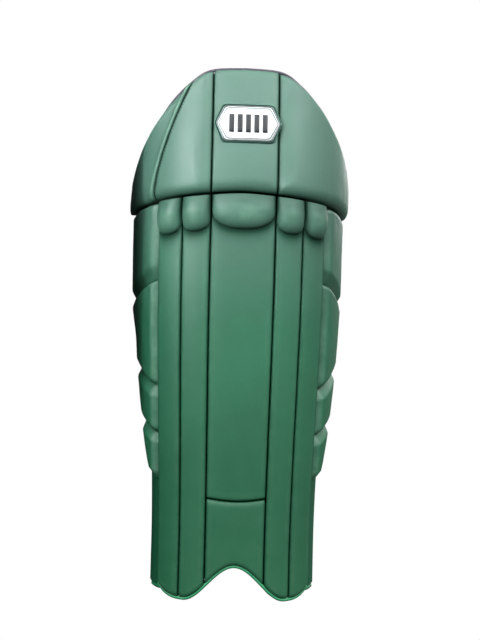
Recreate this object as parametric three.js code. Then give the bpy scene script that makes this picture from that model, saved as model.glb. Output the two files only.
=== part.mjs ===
// A wicket-keeper's leg pad for one leg: a shin guard of foam rolls with cane rods on a curved board, two
// wings of stepped foam segments round the calf, a top section that folds back at the knee, and three
// hook-and-loop straps behind. Millimetres. +Z is up the leg, the pad faces -Y, and +X is the outside of
// the leg. The origin is the middle of the flat cushion that rests on the wearer's shin.
//
// Every soft layer follows one leg-shaped surface. A place on it is given by the arc round the leg, the
// height above the pad's lowest point, and the offset outwards from the surface.
import * as THREE from "three";

// Overall heights above the lowest point of the bottom piping.
const HEIGHT = 680;
const SEAT_HEIGHT = 300;
const INSTEP_SEAM_HEIGHT = 132;
const WING_BOTTOM_HEIGHT = 144;
const WING_FULL_HEIGHT = 430;
const FOLD_HEIGHT = 521;
const FOLD_DROOP = 29;
const KNEE_ROLL_HEIGHT = 40;

// Arcs round the leg, measured at the knee from the middle of the front.
const CENTRE_ARC = 39.5;
const FACE_ROLL_ARC = 76;
const EDGE_ROLL_ARC = 113;
const ANKLE_FLAP_ARC = 160;
const WING_ARC_LOW = 127;
const WING_ARC_FULL = 203;
const TOP_SEAM_ARC_LOW = 115;
const TOP_SEAM_ARC_HIGH = 64;

// Layers, as thicknesses and gaps.
const PIECE_GAP = 0.6;
const SEAM_GAP = 1.2;
const FACE_DEPTH = 22;
const EDGE_DEPTH = 14;
const WING_DEPTH = 12;
const BOARD_THICKNESS = 3;
const LINING_THICKNESS = 5;
const CANE_DIAMETER = 7;
const CUSHION_FACE_DEPTH = 38.6;
const TOP_STANDS_PROUD = 8;
const KNEE_ROLL_RISE = 12;
const PIPING_RADIUS = 2.5;

// Bottom edge: an arch over the instep between two lobes, whose outer corners are rounded.
const ARCH_RISE = 43;
const ARCH_HALF_ARC = 71;
const LOBE_ARC = 77;
const CORNER_ARC = 42;
const CORNER_RISE = 28;
const FLAP_BOTTOM_HEIGHT = 18;
const PIPING_END_ARC = 110;

// The knee fold is a hinge along X, just behind the shin cushion.
const FOLD_AXIS_DEPTH = 44;
const FOLD_AXIS_HEIGHT = 510;
const FOLD_CLEARANCE_SLOPE = 0.72;

const GREEN = 0x3b765a;
const LIGHT_GREEN = 0x4f9a78;
const DARK_GREEN = 0x21483a;

const leather = (color = GREEN) => new THREE.MeshStandardMaterial({ color, roughness: 0.5, metalness: 0 });
const fabric = (color) => new THREE.MeshStandardMaterial({ color, roughness: 0.9, metalness: 0 });
const foam = () => new THREE.MeshStandardMaterial({ color: 0xd8d4c4, roughness: 0.95, metalness: 0 });
const cane = () => new THREE.MeshStandardMaterial({ color: 0xc9a566, roughness: 0.6, metalness: 0 });
const plastic = (color) => new THREE.MeshStandardMaterial({ color, roughness: 0.3, metalness: 0 });

const { lerp, clamp, degToRad } = THREE.MathUtils;
const SIDES = [
  { side: "inside", sign: -1 },
  { side: "outside", sign: 1 },
];

// How far round the surface has turned from facing straight ahead, as [arc, degrees].
const TURN = [
  [0, 0],
  [CENTRE_ARC, 6],
  [FACE_ROLL_ARC, 28],
  [EDGE_ROLL_ARC, 50],
  [150, 72],
  [215, 84],
].map(([arc, degrees]) => [arc, degToRad(degrees)]);

// The surface's plan at full size: each stretch between two turns is a circular arc.
function plan(arc) {
  const far = Math.abs(arc);
  let [x, y, angle] = [0, 0, 0];
  for (let i = 1; i < TURN.length; i++) {
    const [start, startAngle] = TURN[i - 1];
    const [end, endAngle] = TURN[i];
    if (far <= start) break;
    const bend = (endAngle - startAngle) / (end - start);
    angle = startAngle + bend * (Math.min(far, end) - start);
    x += (Math.sin(angle) - Math.sin(startAngle)) / bend;
    y += (Math.cos(startAngle) - Math.cos(angle)) / bend;
  }
  return { x, y, angle, sign: Math.sign(arc) };
}

const smooth = (t) => t * t * (3 - 2 * t);

// The straight-line reading of a list of [at, value] points, in rising order of at.
function between(points, at) {
  const i = clamp(points.findIndex((p) => p[0] >= at), 1, points.length - 1);
  const [[startAt, start], [endAt, end]] = [points[i - 1], points[i]];
  return lerp(start, end, clamp((at - startAt) / (endAt - startAt), 0, 1));
}

const taper = (z) => lerp(0.97, 1.05, smooth(clamp((z - 60) / 360, 0, 1)));
const footFlare = (z) => -10 * clamp((140 - z) / 140, 0, 1) ** 2;
const topLean = (z) => 32 * clamp((z - FOLD_HEIGHT) / (HEIGHT - FOLD_HEIGHT), 0, 1) ** 1.4;

// A point of the pad from its arc, height and offset outwards.
function onLeg(arc, z, offset) {
  const { x, y, angle, sign } = plan(arc);
  const scale = taper(z);
  return new THREE.Vector3(
    sign * (scale * x + offset * Math.sin(angle)),
    footFlare(z) + topLean(z) + scale * y - offset * Math.cos(angle),
    z,
  );
}

// A smooth curve through a few [at, value] points.
function through(points) {
  const curve = new THREE.SplineCurve(points.map(([at, value]) => new THREE.Vector2(at, value)));
  const samples = curve.getPoints(60).map((p) => [p.x, p.y]);
  return (at) => between(samples, at);
}

const foldHeight = (arc) => FOLD_HEIGHT - FOLD_DROOP * (Math.abs(arc) / 200) ** 1.5;
const topEdge = through([
  [0, HEIGHT],
  [42, 677],
  [66, 662],
  [92, 638],
  [118, 609],
  [150, 578],
  [WING_ARC_FULL + 2, 536],
]);

function bottomEdge(arc) {
  const far = Math.abs(arc);
  if (far < ARCH_HALF_ARC) return ARCH_RISE * Math.cos((Math.PI * far) / (2 * ARCH_HALF_ARC)) ** 2;
  const round = clamp((far - LOBE_ARC) / CORNER_ARC, 0, 1);
  return CORNER_RISE * (1 - Math.sqrt(1 - round * round));
}

// The lower edge of the board and what lies behind it: the bottom edge moved inwards by the piping.
const LOWER_EDGE = Array.from({ length: 80 }, (_, i) => {
  const arc = (EDGE_ROLL_ARC * i) / 79;
  const slope = (bottomEdge(arc + 0.1) - bottomEdge(arc)) / 0.1;
  const clearance = (2 * PIPING_RADIUS + 2 * PIECE_GAP) / Math.hypot(1, slope);
  return [arc - slope * clearance, bottomEdge(arc) + clearance];
}).sort((a, b) => a[0] - b[0]);
const lowerEdge = (arc) => {
  const far = Math.abs(arc);
  return far > LOWER_EDGE.at(-1)[0] ? FLAP_BOTTOM_HEIGHT : between(LOWER_EDGE, far);
};

const wingEnd = (z) =>
  lerp(
    WING_ARC_LOW,
    WING_ARC_FULL,
    Math.sin((Math.PI / 2) * clamp((z - WING_BOTTOM_HEIGHT) / (WING_FULL_HEIGHT - WING_BOTTOM_HEIGHT), 0, 1)),
  );
const backEnd = (z) => Math.max(ANKLE_FLAP_ARC, wingEnd(z) + 2);

// The front of the board lies this far behind the surface.
function boardDepth(arc) {
  const far = Math.abs(arc);
  const edge = lerp(FACE_DEPTH, EDGE_DEPTH, clamp((far - FACE_ROLL_ARC) / (EDGE_ROLL_ARC - FACE_ROLL_ARC), 0, 1));
  return lerp(edge, WING_DEPTH, clamp((far - EDGE_ROLL_ARC) / 20, 0, 1));
}
const liningFront = (arc) => -boardDepth(arc) - BOARD_THICKNESS - PIECE_GAP;
const liningBack = (arc) => liningFront(arc) - LINING_THICKNESS;

// The top of the board and lining behind the fold, cut down so that the folded top section clears them.
function clearOfFold(arc) {
  const { y } = onLeg(arc, FOLD_AXIS_HEIGHT, liningBack(arc));
  const swept = FOLD_AXIS_HEIGHT - 2 - FOLD_CLEARANCE_SLOPE * Math.max(0, y - FOLD_AXIS_DEPTH);
  return Math.min(foldHeight(arc) - 2, swept);
}

// A box with the given numbers of cells, bent so that place(u, v, w) is the point at those shares of its
// width, height and thickness.
function bentBox(place, [across, up, through]) {
  const geometry = new THREE.BoxGeometry(1, 1, 1, across, up, through);
  const position = geometry.getAttribute("position");
  const point = new THREE.Vector3();
  for (let i = 0; i < position.count; i++) {
    point.fromBufferAttribute(position, i).addScalar(0.5);
    const { x, y, z } = place(point.x, point.y, point.z);
    position.setXYZ(i, x, y, z);
  }
  geometry.computeVertexNormals();
  return geometry;
}

// A layer of the pad between two arcs, two heights and two offsets. The arcs may vary with the share up the
// piece, the heights with the arc, and the offsets with both.
function layer({ arcs, heights, back, front, cells }) {
  return bentBox(
    (u, v, w) => {
      const [left, right] = arcs(v);
      const arc = lerp(left, right, u);
      const [low, high] = heights(arc);
      return onLeg(arc, lerp(low, high, v), lerp(back(arc, u, v), front(arc, u, v), w));
    },
    cells,
  );
}

// How far a padded face falls away at its edges: nothing in the middle, all of it at the rim.
const rim = (u, v, sideSharpness = 4, endSharpness = 14) =>
  Math.max(Math.abs(2 * u - 1) ** sideSharpness, Math.abs(2 * v - 1) ** endSharpness);

const pad = new THREE.Group();
pad.position.set(0, -CUSHION_FACE_DEPTH, -SEAT_HEIGHT);

function add(name, geometry, material) {
  const mesh = new THREE.Mesh(geometry, material);
  mesh.name = name;
  pad.add(mesh);
}

// --- The back of the shin guard: board, lining, cushion and bolsters ---

const mirrored = (sign, near, far) => (sign < 0 ? [-far, -near] : [near, far]);

add(
  "shin_board",
  layer({
    arcs: () => [-EDGE_ROLL_ARC, EDGE_ROLL_ARC],
    heights: (arc) => [lowerEdge(arc), clearOfFold(arc)],
    back: (arc) => -boardDepth(arc) - BOARD_THICKNESS,
    front: (arc) => -boardDepth(arc),
    cells: [20, 12, 1],
  }),
  fabric(0x2b2b2b),
);

const liningEnds = (v) => {
  const end = backEnd(lerp(FLAP_BOTTOM_HEIGHT, 460, v)) - 1;
  return [-end, end];
};
add(
  "shin_lining",
  layer({
    arcs: liningEnds,
    heights: (arc) => [lowerEdge(arc), clearOfFold(arc)],
    back: liningBack,
    front: liningFront,
    cells: [28, 12, 1],
  }),
  fabric(DARK_GREEN),
);

// The cushion fits the lining in front, and is flat where the shin rests on it.
const CUSHION = { width: 72, height: 250 };
const cushion = bentBox(
  (u, v, w) => {
    const arc = CUSHION.width * (u - 0.5);
    const seat = onLeg(arc, SEAT_HEIGHT + CUSHION.height * (v - 0.5), liningBack(arc) - PIECE_GAP);
    return w > 0.5 ? seat : seat.setY(CUSHION_FACE_DEPTH);
  },
  [8, 6, 1],
);
add("shin_cushion", cushion, fabric(0x2f5f4a));

for (const { side, sign } of SIDES)
  add(
    `${side}_knee_bolster`,
    layer({
      arcs: () => mirrored(sign, 58, 92),
      heights: () => [372, 470],
      back: (arc, u, v) => liningBack(arc) - 3 - 11 * (1 - rim(u, v, 2, 6)),
      front: (arc) => liningBack(arc) - PIECE_GAP,
      cells: [4, 6, 1],
    }),
    fabric(0x2f5f4a),
  );

// --- The face: centre panel, instep panel, four rolls with a cane rod behind each ---

const half = SEAM_GAP / 2;
const caneLayer = CANE_DIAMETER + 2 * PIECE_GAP;
const faceFront = (drop) => (arc, u, v) => -drop * rim(u, v);

add(
  "centre_shin_panel",
  layer({
    arcs: () => [-CENTRE_ARC + half, CENTRE_ARC - half],
    heights: (arc) => [INSTEP_SEAM_HEIGHT + half, foldHeight(arc) - 2],
    back: (arc) => -boardDepth(arc) + caneLayer,
    front: faceFront(6),
    cells: [8, 10, 1],
  }),
  leather(),
);
add(
  "shin_foam_core",
  layer({
    arcs: () => [-CENTRE_ARC + 4, CENTRE_ARC - 4],
    heights: () => [INSTEP_SEAM_HEIGHT + 6, FOLD_HEIGHT - 12],
    back: (arc) => -boardDepth(arc) + PIECE_GAP,
    front: (arc) => -boardDepth(arc) + caneLayer - PIECE_GAP,
    cells: [4, 4, 1],
  }),
  foam(),
);
add(
  "instep_panel",
  layer({
    arcs: () => [-CENTRE_ARC + half, CENTRE_ARC - half],
    heights: (arc) => [bottomEdge(arc) + PIPING_RADIUS, INSTEP_SEAM_HEIGHT - half],
    back: (arc) => -boardDepth(arc) + PIECE_GAP,
    front: faceFront(6),
    cells: [8, 6, 1],
  }),
  leather(),
);

const ROLLS = [
  { roll: "shin_roll", near: CENTRE_ARC, far: FACE_ROLL_ARC },
  { roll: "edge_roll", near: FACE_ROLL_ARC, far: EDGE_ROLL_ARC },
];
for (const { side, sign } of SIDES)
  for (const { roll, near, far } of ROLLS) {
    add(
      `${side}_${roll}`,
      layer({
        arcs: () => mirrored(sign, near + half, far - half),
        heights: (arc) => [bottomEdge(arc) + PIPING_RADIUS, foldHeight(arc) - 2],
        back: (arc) => -boardDepth(arc) + caneLayer,
        front: (arc, u, v) => -5 * rim(u, v, 4, 20),
        cells: [4, 14, 1],
      }),
      leather(),
    );
    // The cane rod lies between the roll and the board.
    const middle = (sign * (near + far)) / 2;
    const axisOffset = -boardDepth(middle) + caneLayer / 2;
    const [caneLow, caneHigh] = [70, 480];
    const route = new THREE.CatmullRomCurve3(
      Array.from({ length: 9 }, (_, i) => onLeg(middle, lerp(caneLow, caneHigh, i / 8), axisOffset)),
    );
    const round = new THREE.Shape().absarc(0, 0, CANE_DIAMETER / 2, 0, 2 * Math.PI);
    add(
      `${side}_${roll}_cane`,
      new THREE.ExtrudeGeometry(round, { steps: 12, curveSegments: 3, extrudePath: route }),
      cane(),
    );
  }

// --- Knee rolls: bolster ends that stand proud of the face just under the fold ---

const KNEE_ROLLS = [
  { name: "knee_cup", from: -CENTRE_ARC + 3, to: CENTRE_ARC - 3, roundEnd: 0.8 },
  ...SIDES.flatMap(({ side, sign }) =>
    ROLLS.map(({ roll, near, far }) => {
      const [from, to] = mirrored(sign, near + 1.5, far - 1.5);
      return { name: `${side}_${roll}_knee_roll`, from, to, roundEnd: 0.45 };
    }),
  ),
];
for (const { name, from, to, roundEnd } of KNEE_ROLLS)
  add(
    name,
    layer({
      arcs: (v) => {
        const reach = ((to - from) / 2) * (0.35 + 0.65 * Math.sqrt(1 - Math.max(0, 1 - v / roundEnd) ** 2));
        return [(from + to) / 2 - reach, (from + to) / 2 + reach];
      },
      heights: (arc) => [foldHeight(arc) - 2 - KNEE_ROLL_HEIGHT, foldHeight(arc) - 3],
      back: () => PIECE_GAP,
      front: (arc, u, v) => 2 + (KNEE_ROLL_RISE - 2) * (1 - rim(u, 0.5 + v / 2 - 0.5 * (1 - v) ** 2, 2, 8)),
      cells: [6, 6, 1],
    }),
    leather(),
  );

// --- The bottom piping, along the arch and both lobes ---

const pipingRoute = new THREE.CatmullRomCurve3(
  Array.from({ length: 41 }, (_, i) => {
    const arc = lerp(-PIPING_END_ARC, PIPING_END_ARC, i / 40);
    return onLeg(arc, bottomEdge(arc) + PIPING_RADIUS, -boardDepth(arc) - BOARD_THICKNESS);
  }),
);
const pipingSection = new THREE.Shape().absarc(0, 0, PIPING_RADIUS, 0, 2 * Math.PI);
add(
  "bottom_piping",
  new THREE.ExtrudeGeometry(pipingSection, { steps: 40, curveSegments: 4, extrudePath: pipingRoute }),
  leather(LIGHT_GREEN),
);

// --- Wings: a backing board each side, and four foam segments on it ---

// Where one segment gives way to the next, as heights at the face and at the wing's rear edge.
const WING_SEAMS = [
  { atFace: 411, atRear: 370 },
  { atFace: 268, atRear: 297 },
  { atFace: 207, atRear: 229 },
  { atFace: WING_BOTTOM_HEIGHT - 1, atRear: WING_BOTTOM_HEIGHT + 6 },
];
const WING_START = EDGE_ROLL_ARC + 1.6;

function wingSeam({ atFace, atRear }, arc) {
  const rear = wingEnd(atRear);
  return lerp(atFace, atRear, clamp((Math.abs(arc) - EDGE_ROLL_ARC) / (rear - EDGE_ROLL_ARC), 0, 1));
}

function wingFront(arc, u, v, sign) {
  const fromFace = sign < 0 ? 1 - u : u;
  const bevel = 9 * clamp(1 - fromFace / 0.22, 0, 1);
  const tail = 4 * clamp((fromFace - 0.75) / 0.25, 0, 1) ** 2;
  return 2 - Math.max(bevel, tail, 5 * Math.abs(2 * v - 1) ** 12);
}

for (const { side, sign } of SIDES) {
  add(
    `${side}_wing_board`,
    layer({
      arcs: (v) => mirrored(sign, WING_START, backEnd(lerp(FLAP_BOTTOM_HEIGHT, 457, v))),
      heights: (arc) => [lowerEdge(arc), clearOfFold(arc)],
      back: (arc) => -boardDepth(arc) - BOARD_THICKNESS,
      front: (arc) => -boardDepth(arc),
      cells: [6, 8, 1],
    }),
    leather(DARK_GREEN),
  );
  WING_SEAMS.forEach((seam, i) => {
    const above = (arc) => (i === 0 ? foldHeight(arc) - 2 : wingSeam(WING_SEAMS[i - 1], arc) - half);
    const [low, high] = [seam.atRear, i === 0 ? WING_FULL_HEIGHT : WING_SEAMS[i - 1].atRear];
    add(
      `${side}_wing_pad_${i + 1}`,
      layer({
        arcs: (v) => mirrored(sign, WING_START, wingEnd(lerp(low, high, v))),
        heights: (arc) => [wingSeam(seam, arc) + half, above(arc)],
        back: (arc) => -boardDepth(arc) + PIECE_GAP,
        front: (arc, u, v) => wingFront(arc, u, v, sign),
        cells: [5, 5, 1],
      }),
      leather(),
    );
  });
}

// --- The top section, which folds back at the knee ---

const topHeights = (arc) => [foldHeight(arc) + 1.5, topEdge(Math.abs(arc))];
const topSeam = (v) => lerp(TOP_SEAM_ARC_LOW, TOP_SEAM_ARC_HIGH, v ** 1.9);

// The padded face curls in at its lower lip and at its top.
function topFront(arc, u, v) {
  const lip = 11 * clamp(1 - v / 0.14, 0, 1) ** 2;
  const crest = 7 * clamp((v - 0.93) / 0.07, 0, 1) ** 2;
  const side = 4 * Math.abs(2 * u - 1) ** 8;
  return TOP_STANDS_PROUD - Math.max(lip, crest, side);
}
const topBack = (arc) => -boardDepth(arc) + PIECE_GAP;

add(
  "top_board",
  layer({
    arcs: () => [-WING_ARC_FULL, WING_ARC_FULL],
    heights: topHeights,
    back: (arc) => -boardDepth(arc) - BOARD_THICKNESS,
    front: (arc) => -boardDepth(arc),
    cells: [28, 6, 1],
  }),
  leather(DARK_GREEN),
);
add(
  "top_lining",
  layer({
    arcs: () => [-WING_ARC_FULL + 1, WING_ARC_FULL - 1],
    heights: (arc) => [foldHeight(arc) + 1.5, topEdge(Math.abs(arc)) - 1],
    back: liningBack,
    front: liningFront,
    cells: [28, 6, 1],
  }),
  fabric(DARK_GREEN),
);

const TOP_PANELS = [
  { name: "top_centre_panel", arcs: () => [-CENTRE_ARC + half, CENTRE_ARC - half], cells: [6, 8, 1] },
  { name: "top_inside_flank", arcs: (v) => [-topSeam(v) + half, -CENTRE_ARC - half], cells: [6, 8, 1] },
  { name: "top_inside_wing", arcs: (v) => [-WING_ARC_FULL, -topSeam(v) - half], cells: [10, 8, 1] },
  { name: "top_outside_flank", arcs: () => [CENTRE_ARC + half, WING_ARC_FULL], cells: [12, 8, 1] },
];
for (const { name, arcs, cells } of TOP_PANELS)
  add(
    name,
    layer({
      arcs,
      heights: topHeights,
      back: topBack,
      front: topFront,
      cells,
    }),
    leather(),
  );

for (const { side, sign } of SIDES)
  add(
    `top_${side}_bolster`,
    layer({
      arcs: () => mirrored(sign, 20, 62),
      heights: () => [538, 630],
      back: (arc, u, v) => liningBack(arc) - 3 - 10 * (1 - rim(u, v, 2, 6)),
      front: (arc) => liningBack(arc) - PIECE_GAP,
      cells: [4, 6, 1],
    }),
    fabric(0x2f5f4a),
  );

// The strip of lining cloth that crosses the fold and is the hinge.
add(
  "knee_fold_gusset",
  layer({
    arcs: () => [-98, 98],
    heights: (arc) => [foldHeight(arc) - 20, foldHeight(arc) + 10],
    back: (arc) => liningBack(arc) - PIECE_GAP - 1.6,
    front: (arc) => liningBack(arc) - PIECE_GAP,
    cells: [14, 2, 1],
  }),
  fabric(DARK_GREEN),
);

// --- The badge: a six-sided plate with a raised face, bent to the centre panel ---

const BADGE = { middleArc: 2.5, middleHeight: 608, width: 77, flat: 57, height: 46 };
function badgeLayer(inset, low, high) {
  const flatHalf = BADGE.flat / 2 - inset;
  const tipHalf = BADGE.width / 2 - inset;
  return layer({
    arcs: (v) => {
      const reach = lerp(tipHalf, flatHalf, Math.abs(2 * v - 1));
      return [BADGE.middleArc - reach, BADGE.middleArc + reach];
    },
    heights: () => [
      BADGE.middleHeight - BADGE.height / 2 + inset,
      BADGE.middleHeight + BADGE.height / 2 - inset,
    ],
    back: () => TOP_STANDS_PROUD + low,
    front: () => TOP_STANDS_PROUD + high,
    cells: [6, 4, 1],
  });
}
add("badge_plate", badgeLayer(0, PIECE_GAP, 2.4), plastic(0xa7aaa6));
add("badge_face", badgeLayer(4, 2.4 + PIECE_GAP, 3.6), plastic(0xf1f1ee));

// --- Straps: sewn to the inside wing, closed by hook and loop on a tongue from the outside wing ---

const STRAPS = [
  { name: "knee_strap", height: 398, width: 50, bulge: 52 },
  { name: "calf_strap", height: 292, width: 50, bulge: 46 },
  { name: "ankle_strap", height: 192, width: 38, bulge: 44 },
];
const STRAP_THICKNESS = 2.4;
const HOOK_THICKNESS = 1.2;
const ANCHOR_THICKNESS = 2.2;

// The arc where a strap leaves the wing: just past the board's rear edge at the strap's upper border.
const strapArc = ({ height, width }) => backEnd(height + width / 2) + 3;

// A point of a strap's line. It runs along the inside of the outside wing below 0 degrees, behind the leg on
// half an ellipse from 0 to 180, and along the inside of the inside wing above 180.
function onStrap(strap, degrees, z, offset) {
  const past = Math.max(-degrees, degrees - 180, 0);
  const arc = strapArc(strap) - past;
  const depth = liningBack(arc) - PIECE_GAP - ANCHOR_THICKNESS;
  if (past > 0) return onLeg(degrees < 0 ? arc : -arc, z, depth + offset);
  const start = onLeg(arc, z, depth);
  const angle = degToRad(degrees);
  return new THREE.Vector3(
    (start.x + offset) * Math.cos(angle),
    start.y + (strap.bulge + offset) * Math.sin(angle),
    z,
  );
}

// A band along a strap's line between two angles, in steps that every band shares, so that they nest.
const STRAP_STEP = 6;
function band(strap, [from, to], outer, thickness, margin = 0) {
  const reach = strap.width / 2 - margin;
  return bentBox(
    (u, v, w) => {
      const degrees = lerp(from, to, u);
      return onStrap(strap, degrees, strap.height + lerp(-reach, reach, v), outer(degrees) - thickness * w);
    },
    [Math.abs(to - from) / STRAP_STEP, 2, 1],
  );
}

// The hooks lie under the strap, the loops under the hooks, and the tongue under the loops.
const hookLayer = () => -PIECE_GAP;
const loopLayer = () => hookLayer() - HOOK_THICKNESS - PIECE_GAP;
const tongueLayer = (degrees) =>
  lerp(ANCHOR_THICKNESS, loopLayer() - HOOK_THICKNESS - PIECE_GAP, clamp(degrees / 24, 0, 1));
for (const { name, ...strap } of STRAPS) {
  add(`${name}_anchor`, band(strap, [218, 182], () => ANCHOR_THICKNESS, ANCHOR_THICKNESS, -2), leather());
  add(name, band(strap, [180, 30], () => STRAP_THICKNESS, STRAP_THICKNESS), leather());
  add(`${name}_hooks`, band(strap, [60, 36], hookLayer, HOOK_THICKNESS, 3), fabric(0x1c1c1c));
  add(`${name}_loops`, band(strap, [60, 36], loopLayer, HOOK_THICKNESS, 3), fabric(0x1c1c1c));
  add(`${name}_tongue`, band(strap, [66, -24], tongueLayer, STRAP_THICKNESS), leather());
}

const keeperPad = new THREE.Group();
keeperPad.add(pad);

export default keeperPad;
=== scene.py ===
"""Looks for the wicket-keeper's leg pad: padded covers, quilted lining, straps, badge, light and camera.

The pieces follow the same leg-shaped surface as the solids. A place on it is an arc round the leg, a height
above the pad's lowest point and an offset outwards, in millimetres; on_leg turns them into the frame's metres.
"""

import math

import bpy
import numpy as np
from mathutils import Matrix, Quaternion, Vector


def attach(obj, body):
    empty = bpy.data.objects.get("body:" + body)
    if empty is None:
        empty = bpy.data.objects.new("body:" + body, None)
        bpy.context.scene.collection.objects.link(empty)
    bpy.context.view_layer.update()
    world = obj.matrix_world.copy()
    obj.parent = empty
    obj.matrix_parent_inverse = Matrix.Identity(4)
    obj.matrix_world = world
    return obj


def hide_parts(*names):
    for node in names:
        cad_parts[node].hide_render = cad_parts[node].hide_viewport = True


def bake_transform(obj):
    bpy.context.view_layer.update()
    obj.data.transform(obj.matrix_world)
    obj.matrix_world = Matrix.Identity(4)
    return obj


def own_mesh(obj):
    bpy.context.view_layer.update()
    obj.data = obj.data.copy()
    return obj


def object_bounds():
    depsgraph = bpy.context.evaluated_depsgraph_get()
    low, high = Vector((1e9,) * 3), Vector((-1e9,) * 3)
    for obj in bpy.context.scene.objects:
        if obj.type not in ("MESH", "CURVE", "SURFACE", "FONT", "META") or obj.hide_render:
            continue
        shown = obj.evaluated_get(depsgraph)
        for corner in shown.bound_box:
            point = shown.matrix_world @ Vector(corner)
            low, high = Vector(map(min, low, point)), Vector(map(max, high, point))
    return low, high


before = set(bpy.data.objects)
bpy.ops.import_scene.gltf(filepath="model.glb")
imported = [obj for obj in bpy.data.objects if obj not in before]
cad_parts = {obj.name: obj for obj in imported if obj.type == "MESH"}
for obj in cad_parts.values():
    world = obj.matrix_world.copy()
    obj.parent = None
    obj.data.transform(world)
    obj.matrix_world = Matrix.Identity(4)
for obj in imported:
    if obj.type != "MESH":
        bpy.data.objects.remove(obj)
CAD_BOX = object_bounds()

# --- The leg-shaped surface, as in the solids; only FLAP_BOTTOM is lower here ---

HEIGHT = 680.0
SEAT_HEIGHT = 300.0
CUSHION_FACE_DEPTH = 38.6
INSTEP_SEAM = 132.0
WING_BOTTOM, WING_FULL = 144.0, 430.0
FOLD_HEIGHT, FOLD_DROOP = 521.0, 29.0
KNEE_ROLL_HEIGHT = 40.0
CENTRE_ARC, FACE_ROLL_ARC, EDGE_ROLL_ARC = 39.5, 76.0, 113.0
ANKLE_FLAP_ARC = 160.0
WING_ARC_LOW, WING_ARC_FULL = 127.0, 203.0
TOP_SEAM_LOW, TOP_SEAM_HIGH = 115.0, 64.0
GAP = 0.6
HALF_SEAM = 0.6
FACE_DEPTH, EDGE_DEPTH, WING_DEPTH = 22.0, 14.0, 12.0
BOARD_THICKNESS, LINING_THICKNESS = 3.0, 5.0
CANE_DIAMETER = 7.0
CANE_LAYER = CANE_DIAMETER + 2 * GAP
TOP_PROUD = 8.0
PIPING_RADIUS = 2.5
ARCH_RISE, ARCH_HALF_ARC = 43.0, 71.0
LOBE_ARC, CORNER_ARC, CORNER_RISE = 77.0, 42.0, 28.0
FLAP_BOTTOM, SOLID_FLAP_BOTTOM = 10.0, 18.0
PIPING_END_ARC = 110.0
FOLD_AXIS = (44.0, 510.0)
FOLD_CLEARANCE_SLOPE = 0.72
TURN_ARCS = np.array([0, CENTRE_ARC, FACE_ROLL_ARC, EDGE_ROLL_ARC, 150, 215])
TURN_ANGLES = np.radians([0, 6, 28, 50, 72, 84])
SIDES = (("inside", -1), ("outside", 1))


def plan(arc):
    """x, y and facing angle of the surface at full size, for arcs on the +X side."""
    far = np.abs(arc)
    x, y = np.zeros_like(far), np.zeros_like(far)
    for start, end, a, b in zip(TURN_ARCS, TURN_ARCS[1:], TURN_ANGLES, TURN_ANGLES[1:]):
        bend = (b - a) / (end - start)
        last = end == TURN_ARCS[-1]
        angle = a + bend * (np.clip(far, start, None if last else end) - start)
        x += (np.sin(angle) - math.sin(a)) / bend
        y += (math.cos(a) - np.cos(angle)) / bend
    angle = np.interp(far, TURN_ARCS, TURN_ANGLES)
    return x, y, angle


def smooth(t):
    t = np.clip(t, 0, 1)
    return t * t * (3 - 2 * t)


def on_leg(arc, z, offset):
    """Points in the frame, in metres, from arcs, heights and offsets in millimetres."""
    arc, z, offset = np.broadcast_arrays(*(np.asarray(a, float) for a in (arc, z, offset)))
    x, y, angle = plan(arc)
    taper = 0.97 + 0.08 * smooth((z - 60) / 360)
    flare = -10 * np.clip((140 - z) / 140, 0, 1) ** 2
    lean = 32 * np.clip((z - FOLD_HEIGHT) / (HEIGHT - FOLD_HEIGHT), 0, 1) ** 1.4
    px = np.sign(arc) * (taper * x + offset * np.sin(angle))
    py = flare + lean + taper * y - offset * np.cos(angle)
    return np.stack([px, py - CUSHION_FACE_DEPTH, z - SEAT_HEIGHT], -1) / 1000


def spline(points):
    """A smooth curve through [at, value] points, as a function."""
    p = np.array(points, float)
    samples = []
    for t in np.linspace(0, len(p) - 1, 61):
        i = min(int(t), len(p) - 2)
        f = t - i
        a, b, c, d = p[max(i - 1, 0)], p[i], p[i + 1], p[min(i + 2, len(p) - 1)]
        v0, v1 = (c - a) / 2, (d - b) / 2
        samples.append((2 * b - 2 * c + v0 + v1) * f**3 + (3 * c - 3 * b - 2 * v0 - v1) * f**2 + v0 * f + b)
    samples = np.array(samples)
    return lambda at: np.interp(at, samples[:, 0], samples[:, 1])


TOP_EDGE = spline(
    [[0, HEIGHT], [42, 677], [66, 662], [92, 638], [118, 609], [150, 578], [WING_ARC_FULL + 2, 536]]
)


def fold_height(arc):
    return FOLD_HEIGHT - FOLD_DROOP * (np.abs(arc) / 200) ** 1.5


def top_edge(arc):
    return TOP_EDGE(np.abs(arc))


def bottom_edge(arc):
    far = np.abs(arc)
    arch = ARCH_RISE * np.cos(np.pi * np.minimum(far, ARCH_HALF_ARC) / (2 * ARCH_HALF_ARC)) ** 2
    corner = np.clip((far - LOBE_ARC) / CORNER_ARC, 0, 1)
    return np.where(far < ARCH_HALF_ARC, arch, CORNER_RISE * (1 - np.sqrt(1 - corner**2)))


def lower_edge(arc):
    """The lower edge of the board and what lies behind it, turning smoothly into the wing's flat lower flap."""
    at = EDGE_ROLL_ARC * np.arange(80) / 79
    slope = (bottom_edge(at + 0.1) - bottom_edge(at)) / 0.1
    clear = (2 * PIPING_RADIUS + 2 * GAP) / np.hypot(1, slope)
    moved = at - slope * clear
    order = np.argsort(moved)
    far = np.abs(arc)
    edge = np.interp(far, moved[order], (bottom_edge(at) + clear)[order])
    beyond = np.maximum(0, far - moved.max())
    return edge + (FLAP_BOTTOM - edge) * (1 - np.exp(-((beyond / 8) ** 2)))


def wing_end(z):
    """The arc where the wing's padding ends at a height."""
    share = np.clip((np.asarray(z, float) - WING_BOTTOM) / (WING_FULL - WING_BOTTOM), 0, 1)
    return WING_ARC_LOW + (WING_ARC_FULL - WING_ARC_LOW) * np.sin(np.pi / 2 * share)


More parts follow.
